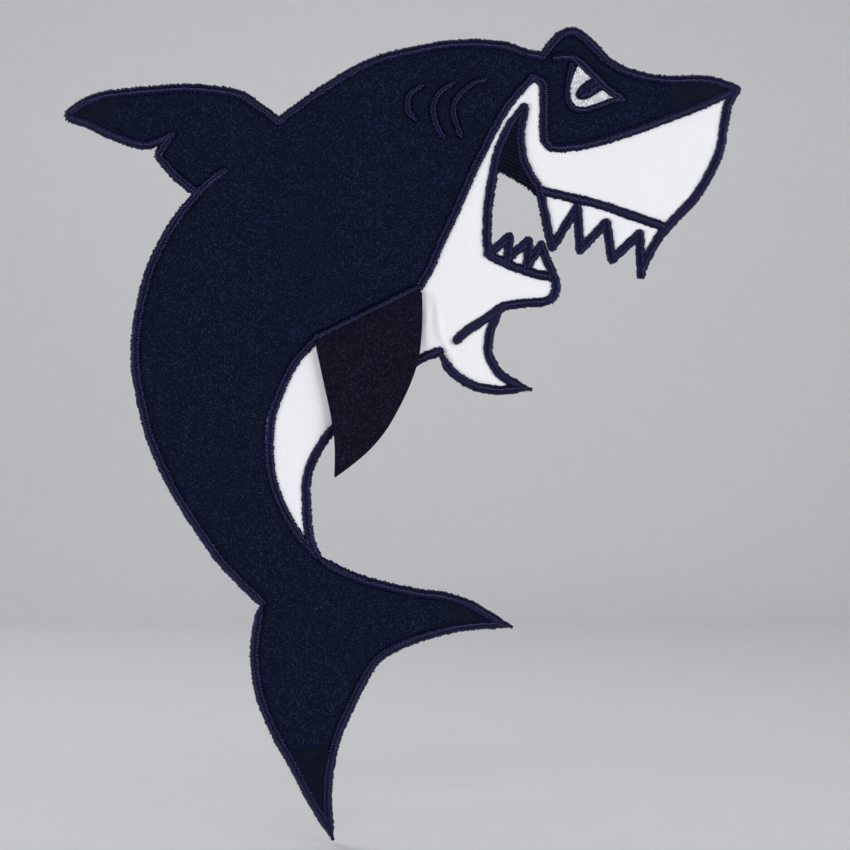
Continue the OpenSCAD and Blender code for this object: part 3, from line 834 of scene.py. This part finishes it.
def inside(points, loops):
    """Which of the points, an array of [x, z], lie inside the closed loops."""
    found = np.zeros(len(points), bool)
    for loop in loops:
        ends = np.array([tuple(p) for p in loop])
        for (x0, z0), (x1, z1) in zip(ends, np.roll(ends, -1, axis=0)):
            if z0 == z1:
                continue
            crosses = (points[:, 1] >= min(z0, z1)) & (points[:, 1] < max(z0, z1))
            side = x0 + (points[:, 1] - z0) * (x1 - x0) / (z1 - z0)
            found ^= crosses & (points[:, 0] < side)
    return found


def clear_of(points, lines, gap):
    """Which of the points are further than gap from all the lines."""
    marks = np.array([tuple(p) for line in lines for p in line])
    apart = np.linalg.norm(points[:, None, :] - marks[None, :, :], axis=2)
    return apart.min(axis=1) > gap


def stitch_rows(low, high, angle, row, stitch, keep, seed):
    """Running stitches laid like bricks in rows at an angle, cut to where keep allows. Keep gets
    the points and each row's raggedness, from -1 to 1. Returns middles, way and shares."""
    chance = random.Random(seed)
    way = Vector((math.cos(angle), math.sin(angle)))
    aside = Vector((-way.y, way.x))
    middle = (low + high) / 2
    reach = (high - low).length / 2
    samples, fewest = 9, 3
    stitches, ragged = [], []
    for i in range(-int(reach / row), int(reach / row) + 1):
        roughness = chance.uniform(-1, 1)
        phase = (i % 3) / 3 + chance.uniform(-0.08, 0.08)
        for j in range(-int(reach / stitch) - 1, int(reach / stitch) + 2):
            stitches.append(middle + aside * i * row + way * (j + phase) * stitch)
            ragged.append(roughness)
    shares = np.linspace(-0.5, 0.5, samples)
    spread = np.array([tuple(s + way * stitch * t) for s in stitches for t in shares])
    kept = keep(spread, np.repeat(ragged, samples)).reshape(-1, samples)
    middles, lengths = [], []
    for place, run in zip(stitches, kept):
        if run.sum() < fewest:
            continue
        ends = shares[run]
        middles.append(place + way * stitch * (ends[0] + ends[-1]) / 2)
        lengths.append((ends[-1] - ends[0]) + 0.6 / samples)
    return middles, way, lengths


def fill_mesh(name, middles, way, shares, base):
    """Bare points for a fill, each with the way that its row is stacked and its share."""
    mesh = bpy.data.meshes.new(name)
    mesh.from_pydata([(p.x, -base, p.y) for p in middles], [], [])
    stacked = Vector((-way.y, 0, way.x))
    mesh.attributes.new("way", "FLOAT_VECTOR", "POINT").data.foreach_set(
        "vector", [c for _ in middles for c in stacked])
    mesh.attributes.new("share", "FLOAT", "POINT").data.foreach_set("value", shares)
    mesh.attributes.new("lift", "FLOAT", "POINT").data.foreach_set("value", [0.0] * len(middles))
    return mesh


def flat_box(node):
    """The lowest and highest [x, z] of a node."""
    return [Vector((corner.x, corner.z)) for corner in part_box(node)]


def fill_piece(node, rows, stitch, front, thread, material, slot, seed, trim=None):
    """A stitched area sewn over its node's place, on a thin underlay of the same thread. The
    underlay carries no tone, so it shows the thread's deepest tone, as painted shade between the
    stitches. Trim moves a point of the underlay's outline."""
    radius = thread / 2
    name = node + "_stitches"
    middles, way, shares = rows
    base = -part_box(node)[1].y
    shape = arch_shape(stitch, front - base - radius)
    loops = loops_of_back(node)
    if trim:
        loops = [[trim(p) for p in loop] for loop in loops]
    underlay = sheet_mesh(name + "_underlay", loops, 2 * MM, lambda point: front - radius,
                          lambda point: base, material)
    piece = sewn(
        name, fill_mesh(name + "_points", middles, way, shares, base), fill_tree(), underlay,
        Front=tuple(FRONT), Thread=radius, Rings=5, Sides=6, Fray=0.1, Lean=0.12, Seed=seed,
        Material=material, **shape)
    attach(piece, PATCH)
    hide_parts(node)
    return piece


# How far the rows of a fill end before or past its inner limit, and how far its underlay stays
# behind that limit.
RAGGED_END = 1.1 * MM
UNDERLAY_TRIM = 1.5 * MM

# Each tip's axis, the way on that axis from its tip to its inner limit, the angle of its rows,
# and the borders that it stops at.
TIPS = {
    "tail_tip_fill": (1, 1, 0.6, (TAIL_LOWER, TAIL_INNER)),
    "fluke_tip_fill": (0, -1, 1.2, (TAIL_INNER, TAIL_UPPER)),
    "dorsal_tip_fill": (0, 1, 1.9, (DORSAL,)),
    "snout_tip_fill": (0, -1, 1.2, (HEAD, SNOUT)),
}


def sew_tip(node, axis, away, angle, borders, material, stitching, seed):
    """Fills a tip of the navy panel from its borders in to a ragged inner limit."""
    low, high = flat_box(node)
    limit = high[axis] if away > 0 else low[axis]

    def keep(points, ragged):
        return (inside(points, [NAVY_OUTLINE])
                & (-away * (points[:, axis] - limit) > ragged * RAGGED_END)
                & clear_of(points, borders, stitching.border * 0.36))

    def trim(point):
        moved = point.copy()
        if abs(point[axis] - limit) < 0.3 * MM:
            moved[axis] -= away * UNDERLAY_TRIM
        return moved

    grow = Vector((2, 2)) * MM
    rows = stitch_rows(low - grow, high + grow, angle, stitching.fill_row,
                       stitching.fill_stitch, keep, seed)
    fill_piece(node, rows, stitching.fill_stitch, FILL_FRONT, stitching.thread * 0.9, material,
               "navy_fill_thread", seed, trim)


def sew_mouth_corner(material, stitching):
    """Fills the dark corner of the mouth between its two borders and its rim."""
    # The lowest stitches reach over the edge of the backing.
    over = Vector((0, 0.9 * MM))
    corner = [p for p in MOUTH_LEFT if p.y > MOUTH_RIM[-1].y]
    corner += [p - over for p in MOUTH_RIM[::-1]]
    corner += [p for p in MOUTH_RIGHT if p.y > MOUTH_RIM[0].y][::-1]

    def keep(points, ragged):
        return inside(points, [corner]) & clear_of(
            points, (MOUTH_LEFT, MOUTH_RIGHT), stitching.border * 0.3)

    low, high = flat_box("mouth_corner_fill")
    rows = stitch_rows(low - Vector((1, 1)) * MM, high, 2.2, stitching.fill_row,
                       stitching.fill_stitch, keep, stitching.seed)
    fill_piece("mouth_corner_fill", rows, stitching.fill_stitch, FILL_FRONT,
               stitching.thread * 0.95, material, "navy_fill_thread", stitching.seed)


# ---------------------------------------------------------------- cloth

# Distance between the points that stand for a satin line.
MARK_SPACING = 1 * MM


def search_tree(points):
    """Finds the nearest of the points."""
    tree = KDTree(len(points))
    for i, point in enumerate(points):
        tree.insert((point.x, point.y, 0), i)
    tree.balance()
    return tree


def seam_line(steps):
    """The fin's seam in equal steps."""
    return [SEAM_START.lerp(SEAM_END, i / steps) for i in range(steps + 1)]


def satin_distance():
    """A search tree of points on all the satin lines."""
    marks = []
    for line in [run["line"] for run in ALL_RUNS] + [seam_line(40)]:
        for a, b in zip(line, line[1:]):
            count = max(1, math.ceil((b - a).length / MARK_SPACING))
            marks += [a.lerp(b, i / count) for i in range(count)]
        marks.append(line[-1])
    return search_tree(marks)


def ridge(point, line, spread):
    """How high a soft fold along the line stands at the point, from 0 to 1."""
    nearest, along = 1e9, 0
    total = sum((b - a).length for a, b in zip(line, line[1:]))
    done = 0
    for a, b in zip(line, line[1:]):
        step = b - a
        t = max(0, min(1, (point - a).dot(step) / step.length_squared))
        apart = (point - (a + step * t)).length
        if apart < nearest:
            nearest, along = apart, (done + t * step.length) / total
        done += step.length
    fade = math.sin(math.pi * min(1, max(0, along * 0.9 + 0.05))) ** 0.6
    return math.exp(-(nearest / spread) ** 2) * fade


# Gathered folds in the throat, where the seam of the fin pulls the white cloth: each one's line,
# its half width in millimetres, and its height as a share of a full wrinkle. A fold below zero
# is a furrow.
THROAT_FOLDS = [
    (curve((53.2, -3), (53.9, -8.3), (54.9, -13.5), (59.4, -22)), 1.0, 1.0),
    (curve((55.6, -6), (56.6, -12), (61.5, -20)), 1.1, -0.4),
    (curve((50.6, 4), (51.4, -3), (51.2, -10), (52.4, -17)), 0.7, -0.32),
    (curve((48.6, 2), (49.2, -6), (48.8, -12), (49.6, -17)), 0.8, 0.3),
    (curve((46.8, -1), (46.9, -7), (46.4, -13)), 0.7, -0.3),
    (curve((68.4, 26), (67.7, 21), (68.2, 15)), 0.8, -0.35),
]

# How far from the stitches a crease fades, the broad ripples are free, the short pulls of the
# stitches fade, and a fold stands up. The cloth is held under most of a border's half width.
CREASE_RUN, SLACK_RUN, PULL_RUN, FOLD_RUN = 0.8 * MM, 4 * MM, 5 * MM, 1.5 * MM
HELD = BORDER * 0.42
# Waves per metre across and up the cloth, and the share of a full ripple.
BROAD_RIPPLE = (38, 22, 2.2)
SHORT_PULL = (170, 110, 0.9)


def jersey_relief(cloth, folds):
    """The height of a jersey panel's front over its flat place, as a function of a point."""
    stitched = satin_distance()

    def ripple(point, kind, layer):
        across, up, share = kind
        return share * noise.noise(Vector((point.x * across, point.y * up, layer)))

    def relief(point):
        beside = max(0, stitched.find((point.x, point.y, 0))[2] - HELD)
        crown = cloth.crown * (1 - math.exp(-beside / (cloth.crown_run * 0.45)))
        crease = cloth.crease * math.exp(-(beside / CREASE_RUN) ** 2)
        height = crown - crease + cloth.ripple * (
            ripple(point, BROAD_RIPPLE, 3) * (1 - math.exp(-beside / SLACK_RUN))
            + ripple(point, SHORT_PULL, 9) * math.exp(-beside / PULL_RUN))
        for line, spread, share in folds:
            height += cloth.wrinkle * share * ridge(point, line, spread * MM) * (
                1 - math.exp(-beside / FOLD_RUN))
        return height
    return relief


def tidy_loop(loop, same=0.02 * MM):
    """The loop without points that lie on top of each other."""
    kept = []
    for point in loop:
        if not kept or (point - kept[-1]).length > same:
            kept.append(point)
    return kept if (kept[0] - kept[-1]).length > same else kept[:-1]


def sheet_mesh(name, loops, spacing, front, back, material):
    """A closed sheet inside the loops, on an even grid of triangles. Front and back give the
    depth of its faces at a point."""
    loops = [tidy_loop(loop) for loop in loops]
    rim = [p for loop in loops for p in loop]
    edges, start = [], 0
    for loop in loops:
        edges += [(start + i, start + (i + 1) % len(loop)) for i in range(len(loop))]
        start += len(loop)
    corners = np.array([tuple(p) for p in rim])
    low, high = corners.min(axis=0), corners.max(axis=0)
    row = spacing * math.sqrt(3) / 2
    grid = np.array([
        (low[0] + (i + 0.5 * (j % 2)) * spacing, low[1] + j * row)
        for j in range(int((high[1] - low[1]) / row) + 1)
        for i in range(int((high[0] - low[0]) / spacing) + 1)])
    grid = grid[inside(grid, loops)]
    tree = search_tree(rim)
    inner = [Vector(p) for p in grid if tree.find((p[0], p[1], 0))[2] > spacing * 0.45]
    points, _, faces, *_ = delaunay_2d_cdt(rim + inner, edges, [], 1, 1e-7)
    centres = np.array([
        tuple(sum((points[i] for i in face), Vector((0, 0))) / len(face)) for face in faces])
    faces = [f for f, good in zip(faces, inside(centres, loops)) if good]
    shape = bmesh.new()
    fronts = [shape.verts.new((p.x, -front(p), p.y)) for p in points]
    backs = [shape.verts.new((p.x, -back(p), p.y)) for p in points]
    for face in faces:
        shape.faces.new([fronts[i] for i in face]).smooth = True
        shape.faces.new([backs[i] for i in reversed(face)]).smooth = True
    shape.edges.ensure_lookup_table()
    order = {v: i for i, v in enumerate(fronts)}
    for edge in [e for e in shape.edges if e.is_boundary and e.verts[0] in order]:
        a, b = (order[v] for v in edge.verts)
        shape.faces.new((fronts[a], fronts[b], backs[b], backs[a]))
    bmesh.ops.delete(shape, geom=[v for v in shape.verts if not v.link_faces], context="VERTS")
    bmesh.ops.recalc_face_normals(shape, faces=shape.faces)
    mesh = bpy.data.meshes.new(name)
    shape.to_mesh(mesh)
    shape.free()
    mesh.materials.append(material)
    return mesh


def loops_of_back(node):
    """The outlines of a flat node's back face, as closed loops of [x, z] points."""
    shape = bmesh.new()
    shape.from_mesh(frame["nodes"][node].data)
    bmesh.ops.remove_doubles(shape, verts=shape.verts, dist=0.001 * MM)
    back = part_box(node)[1].y - 0.01 * MM
    flat = {f for f in shape.faces if f.calc_center_median().y > back}
    rim = {}
    for edge in shape.edges:
        if sum(f in flat for f in edge.link_faces) == 1:
            for a, b in (edge.verts, reversed(edge.verts)):
                rim.setdefault(a, []).append(b)
    loops = []
    while rim:
        start = next(iter(rim))
        loop, here, last = [], start, None
        while here in rim:
            loop.append(Vector((here.co.x, here.co.z)))
            ahead = [v for v in rim.pop(here) if v is not last]
            here, last = ahead[0], here
        loops.append(loop)
    shape.free()
    return loops


def area_of(loops):
    """The area inside the outer loops, less any holes."""
    total = 0
    for loop in loops:
        total += sum(a.cross(b) for a, b in zip(loop, loop[1:] + loop[:1])) / 2
    return abs(total)


def cut_from(loops):
    """Width and height of the cloth that the loops are cut from. A panel that leaves most of
    its own box empty is nested with others, so it takes a narrower share."""
    corners = np.array([tuple(p) for loop in loops for p in loop])
    width, height = (float(v) for v in corners.max(axis=0) - corners.min(axis=0))
    return min(width, area_of(loops) / (0.4 * height)), height


# ---------------------------------------------------------------- operators


class SHARK_OT_backing(Operator):
    """Cuts the stabiliser backing and sews the back of every satin line through it"""
    bl_idname = "shark.backing"
    bl_label = "Stabiliser backing"

    def execute(self, context):
        colours, stitching = context.scene.shark_colours, context.scene.shark_stitching
        loops = loops_of_back("stabiliser_backing")
        stitched = satin_distance()

        # The stitches pull the sheet forward along every line.
        def rear(point, pull=0.12 * MM, run=1.8 * MM):
            apart = stitched.find((point.x, point.y, 0))[2]
            return pull * math.exp(-(apart / run) ** 2)

        mesh = sheet_mesh(
            "stabiliser_sheet", loops, 3 * MM, lambda point: BACKING_FRONT, rear,
            stabiliser_material(colours))
        sheet = new_object("stabiliser_sheet", mesh)
        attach(sheet, PATCH)
        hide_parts("stabiliser_backing")
        cut_from(loops)
        area_of(loops)
        # On the back the navy thread shows as two edges beside a white column of bobbin thread.
        white = thread_material(
            "white_bobbin_thread", darker(colours.bobbin, 0.8), colours.bobbin, Roughness=0.7,
            Specular_IOR_Level=0.2)
        runs = [{**run, "lift": 0.0} for run in ALL_RUNS + [satin_run(seam_line(2))]]
        radius = 0.2 * MM
        for name, share, rise, material, slot in (
                ("needle_thread_loops", 0.96, 0.3 * MM, satin_material(colours),
                 "navy_satin_thread"),
                ("bobbin_thread_columns", 0.4, 0.46 * MM, white, "cutaway_stabiliser")):
            width = stitching.border * share
            piece = sewn(
                name, path_mesh(name + "_path", runs, width, 0), satin_tree(),
                Pitch=stitching.pitch * 1.3, Front=tuple(-FRONT), Thread=radius, Rings=4,
                Sides=4, Fray=stitching.fray, Lean=stitching.lean * 2, Seed=stitching.seed,
                Material=material, **arch_shape(width, rise - radius))
            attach(piece, PATCH)
        return {"FINISHED"}


def make_panel(name, node, outline, spacing, cloth, folds, material):
    """Cuts a jersey panel to its outline, puffed up and creased between its stitches."""
    relief = jersey_relief(cloth, folds)
    mesh = sheet_mesh(
        name, [outline], spacing, lambda point: JERSEY_FRONT + relief(point),
        lambda point: BACKING_FRONT, material)
    panel = new_object(name, mesh)
    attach(panel, PATCH)
    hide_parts(node)
    cut_from([outline])
    area_of([outline])
    return panel


class SHARK_OT_body_panel(Operator):
    """Cuts the navy jersey panel of the body, head, dorsal fin and tail"""
    bl_idname = "shark.body_panel"
    bl_label = "Navy body panel"

    def execute(self, context):
        colours, cloth = context.scene.shark_colours, context.scene.shark_cloth
        # The grooves are painted at 0.45 of the body colour, as painted shade.
        material = jersey_material(
            "navy_cotton_jersey", colours.body, colours.body_fleck, darker(colours.body, 0.45),
            cloth, flecks=0.9)
        make_panel("navy_body_cloth", "navy_body_panel", NAVY_OUTLINE, cloth.grid, cloth, (),
                   material)
        return {"FINISHED"}


class SHARK_OT_underside_panel(Operator):
    """Cuts the white jersey panel of the belly, throat, jaws and teeth"""
    bl_idname = "shark.underside_panel"
    bl_label = "White underside panel"

    def execute(self, context):
        colours, cloth = context.scene.shark_colours, context.scene.shark_cloth
        # The grooves are painted with the darker belly colour, as painted shade.
        material = jersey_material(
            "white_cotton_jersey", colours.belly, colours.belly, colours.belly_painted_shade, cloth,
            flecks=0)
        make_panel("white_underside_cloth", "white_underside_panel", WHITE_OUTLINE,
                   cloth.white_grid, cloth, THROAT_FOLDS, material)
        return {"FINISHED"}


class SHARK_OT_satin_lines(Operator):
    """Sews the satin borders over the raw edges and the satin lines drawn on the cloth"""
    bl_idname = "shark.satin_lines"
    bl_label = "Satin borders and lines"

    def execute(self, context):
        colours, stitching = context.scene.shark_colours, context.scene.shark_stitching
        material = satin_material(colours)
        seed = stitching.seed
        for pieces, width in ((SATIN, stitching.border), (FINE_SATIN, stitching.fine)):
            for node, runs in pieces.items():
                seed += 10
                satin_piece(node + "_stitches", node, runs, width, JERSEY_FRONT, SATIN_FRONT,
                            material, stitching, seed)
        return {"FINISHED"}


class SHARK_OT_tip_fills(Operator):
    """Embroiders the tips of the tail, dorsal fin and snout, and the corner of the mouth"""
    bl_idname = "shark.tip_fills"
    bl_label = "Embroidered fills"

    def execute(self, context):
        stitching = context.scene.shark_stitching
        material = fill_material(context.scene.shark_colours)
        for number, (node, tip) in enumerate(TIPS.items()):
            sew_tip(node, *tip, material, stitching, stitching.seed + number)
        sew_mouth_corner(material, stitching)
        return {"FINISHED"}


class SHARK_OT_eye(Operator):
    """Embroiders the silver eye and its navy pupil"""
    bl_idname = "shark.eye"
    bl_label = "Eye"

    def execute(self, context):
        colours, stitching = context.scene.shark_colours, context.scene.shark_stitching
        # The glitter of the metallised thread is painted as random tones between silver and its
        # shade, with almost no metallic.
        silver = thread_material(
            "metallised_silver_thread", colours.silver_painted_shade, colours.silver, Metallic=0.05,
            Roughness=0.2)

        def keep_white(points, ragged):
            return (inside(points, [EYE_FIELD]) & ~inside(points, [PUPIL])
                    & clear_of(points, (PUPIL,), 0.2 * MM)
                    & clear_of(points, (BROW,), stitching.border * 0.42)
                    & clear_of(points, (EYE_RING,), stitching.fine * 0.3))

        def keep_pupil(points, ragged):
            return inside(points, [PUPIL]) & clear_of(points, (BROW,), stitching.border * 0.3)

        # The white is short stitches of fine thread. The pupil's stitches cross it in one go.
        for node, angle, row, stitch, front, thread, keep, material, slot in (
                ("eye_white", 0.9, 0.42 * MM, 1.5 * MM, FILL_FRONT, 0.5 * MM, keep_white,
                 silver, "silver_thread"),
                ("pupil", -1.0, 0.6 * MM, 14 * MM, SATIN_FRONT, 0.62 * MM, keep_pupil,
                 satin_material(colours), "navy_satin_thread")):
            rows = stitch_rows(*flat_box(node), angle, row, stitch, keep, stitching.seed)
            fill_piece(node, rows, stitch, front, thread, material, slot, stitching.seed)
        return {"FINISHED"}


# Sides of the fin as shares of its hinge along the seam and of its length down from it.
FIN_FRONT_SIDE = ((1, 0), (0.86, 0.26), (0.72, 0.46), (0.53, 0.635), (0.25, 0.825),
                  (0.02, 0.925), (-0.215, 0.98), (-0.35, 1))
FIN_REAR_SIDE = ((-0.35, 1), (-0.225, 0.765), (-0.145, 0.54), (-0.07, 0.26), (0, 0))


def fin_side(shares):
    """A smooth line through points given in shares of the fin."""
    places = [HINGE_START + ALONG * (along * HINGE_LEN) + DOWN * (down * FLAP_LEN)
              for along, down in shares]
    return curve(*((place.x / SCALE_X, place.y / SCALE_Z) for place in places))


class SHARK_OT_fin(Operator):
    """Cuts the loose felt fin, lays its root under the seam and sews the seam over it"""
    bl_idname = "shark.fin"
    bl_label = "Pectoral fin and seam"

    def execute(self, context):
        colours, cloth = context.scene.shark_colours, context.scene.shark_cloth
        stitching = context.scene.shark_stitching
        root_middle = (JERSEY_FRONT + ROOT_FRONT) / 2
        flap_middle = (FLAP_BACK_FACE + FLAP_FRONT_FACE) / 2
        felt = FLAP_FRONT_FACE - FLAP_BACK_FACE
        outline = [SEAM_START, SEAM_END] + fin_side(FIN_FRONT_SIDE) + fin_side(FIN_REAR_SIDE)
        # From the edge of the seam the felt steps up over the border below it.
        drop, run_out = HINGE_DROP - stitching.border / 2, 1.4 * MM

        def middle(point):
            down = (point - HINGE_START).dot(DOWN)
            along = (point - HINGE_START).dot(ALONG)
            t = min(1, max(0, (down + drop) / (drop + run_out)))
            step = root_middle + (flap_middle - root_middle) * t * t * (3 - 2 * t)
            free = max(0, down / FLAP_LEN)
            wave = cloth.fin_wave * free * math.sin(along * 150 + down * 60 + 0.6)
            return step + wave + cloth.fin_curl * free ** 2.2

        mesh = sheet_mesh(
            "felt_fin", [outline], cloth.felt_grid, lambda p: middle(p) + felt / 2,
            lambda p: middle(p) - felt / 2, felt_material(colours))
        fin = new_object("felt_fin", mesh)
        bevel = fin.modifiers.new("Soft edge", "BEVEL")
        bevel.width = felt * 0.28
        bevel.segments = 2
        bevel.limit_method = "ANGLE"
        bevel.angle_limit = math.radians(60)
        view = bpy.context.evaluated_depsgraph_get()
        fin.data = bpy.data.meshes.new_from_object(fin.evaluated_get(view))
        fin.modifiers.clear()
        fin.data.name = "felt_fin"
        # It bends from the edge of the seam to just below the hinge.
        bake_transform(fin)
        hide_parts("fin_flap_root", "pectoral_fin_flap")
        cut_from([outline])
        area_of([outline])
        satin_piece("fin_seam_stitches", "fin_seam", [satin_run(seam_line(20))],
                    stitching.border, JERSEY_FRONT, SEAM_FRONT, satin_material(colours),
                    stitching, 3)
        return {"FINISHED"}


class SHARK_OT_stage(Operator):
    """Sets up the floor, backdrop, lights and camera"""
    bl_idname = "shark.stage"
    bl_label = "Stage"

    def execute(self, context):
        scene, stage = context.scene, context.scene.shark_stage
        floor = CAD_BOX[0][2] - 1 * MM
        # The floor runs out of sight. A curved sheet of the same paper rises from it as a wall.
        bend, top, half, far, turns = 0.45, 2.5, 3.0, 20.0, 12
        profile = []
        for i in range(turns + 1):
            turn = math.pi / 2 * i / turns
            profile.append((stage.wall - bend + bend * math.sin(turn),
                            floor + bend - bend * math.cos(turn)))
        profile.append((stage.wall, top))
        vertices = [(x, y, z) for y, z in profile for x in (-half, half)]
        faces = [(2 * i, 2 * i + 1, 2 * i + 3, 2 * i + 2) for i in range(len(profile) - 1)]
        corner = len(vertices)
        vertices += [(x * far, y * far, floor) for x, y in ((-1, -1), (1, -1), (1, 1), (-1, 1))]
        faces.append(tuple(range(corner, corner + 4)))
        mesh = bpy.data.meshes.new("backdrop")
        mesh.from_pydata(vertices, [], faces)
        mesh.materials.append(paper_material(scene.shark_colours))
        mesh.shade_smooth()
        new_object("backdrop", mesh)

        # The camera and the lights face the middle of the view.
        middle = Vector((48.6 * MM, 0, -45 * MM))
        # Two long low softboxes at the height of the patch bring out the lay of the threads.
        for name, spot, size, power in (
                ("right_softbox", (1.45, -0.95, 0.07), 1.2, stage.side_light),
                ("left_softbox", (-1.45, -0.95, 0.07), 1.2, stage.side_light * 0.8),
                ("top_softbox", (0.1, -0.9, 1.2), 1.0, stage.front_light),
                ("rear_softbox", (-0.9, 1.0, 0.9), 1.0, stage.side_light * 0.35)):
            lamp = bpy.data.lights.new(name, "AREA")
            lamp.shape = "RECTANGLE"
            lamp.size = size
            lamp.size_y = size * 0.42
            lamp.energy = power
            # A grid on each box keeps its light on the patch and off the near floor.
            lamp.spread = stage.grid_angle
            light = bpy.data.objects.new(name, lamp)
            scene.collection.objects.link(light)
            light.location = spot
            light.rotation_euler = (middle - Vector(spot)).to_track_quat("-Z", "Y").to_euler()
        world = bpy.data.worlds.new("studio")
        world.use_nodes = True
        tree = world.node_tree
        background = tree.nodes["Background"]
        background.inputs["Color"].default_value = scene.shark_colours.daylight
        # The light is pale round the horizon, dim above it, and brighter straight overhead.
        way = add(tree, "ShaderNodeTexCoord").outputs["Generated"]
        up = add(tree, "ShaderNodeSeparateXYZ", {0: way}).outputs["Z"]
        height = add(tree, "ShaderNodeMath", {0: up}, operation="ABSOLUTE")
        band = add(tree, "ShaderNodeMapRange", {
            0: height, 1: 0.14, 2: 0.4, 3: stage.horizon, 4: stage.sky})
        zenith = add(tree, "ShaderNodeMapRange", {
            0: height, 1: 0.8, 2: 0.95, 3: 0, 4: stage.zenith})
        strength = add(tree, "ShaderNodeMath", {0: band, 1: zenith})
        tree.links.new(strength.outputs[0], background.inputs["Strength"])
        scene.world = world

        lens = bpy.data.cameras.new("camera")
        lens.lens = stage.lens
        lens.sensor_width = 36
        lens.clip_start = 0.01
        camera = bpy.data.objects.new("camera", lens)
        scene.collection.objects.link(camera)
        away = stage.view_width * stage.lens / lens.sensor_width
        camera.location = (middle.x, -SATIN_FRONT - away, middle.z)
        camera.rotation_euler = (math.pi / 2, 0, 0)
        scene.camera = camera
        scene.view_settings.view_transform = "Standard"
        return {"FINISHED"}


class SHARK_PT_patch(Panel):
    """Lists the steps that make the patch"""
    bl_idname = "SHARK_PT_patch"
    bl_label = "Shark Patch"
    bl_space_type = "VIEW_3D"
    bl_region_type = "UI"
    bl_category = "Shark Patch"

    def draw(self, context):
        for group in (context.scene.shark_cloth, context.scene.shark_stitching,
                      context.scene.shark_colours, context.scene.shark_stage):
            box = self.layout.box()
            for name in group.__annotations__:
                box.prop(group, name)
        for step in STEPS_IN_ORDER:
            self.layout.operator(step.bl_idname)


STEPS_IN_ORDER = (
    SHARK_OT_stage, SHARK_OT_backing, SHARK_OT_body_panel, SHARK_OT_underside_panel,
    SHARK_OT_satin_lines, SHARK_OT_tip_fills, SHARK_OT_eye, SHARK_OT_fin)
GROUPS = {
    "shark_cloth": SharkCloth, "shark_stitching": SharkStitching,
    "shark_colours": SharkColours, "shark_stage": SharkStage}


def register():
    for group in GROUPS.values():
        bpy.utils.register_class(group)
    for name, group in GROUPS.items():
        setattr(bpy.types.Scene, name, PointerProperty(type=group))
    for step in STEPS_IN_ORDER:
        bpy.utils.register_class(step)
    bpy.utils.register_class(SHARK_PT_patch)


def unregister():
    bpy.utils.unregister_class(SHARK_PT_patch)
    for step in reversed(STEPS_IN_ORDER):
        bpy.utils.unregister_class(step)
    for name, group in GROUPS.items():
        delattr(bpy.types.Scene, name)
        bpy.utils.unregister_class(group)


def main():
    register()
    for step in STEPS_IN_ORDER:
        group, call = step.bl_idname.split(".")
        getattr(getattr(bpy.ops, group), call)()


if __name__ == "__main__":
    main()
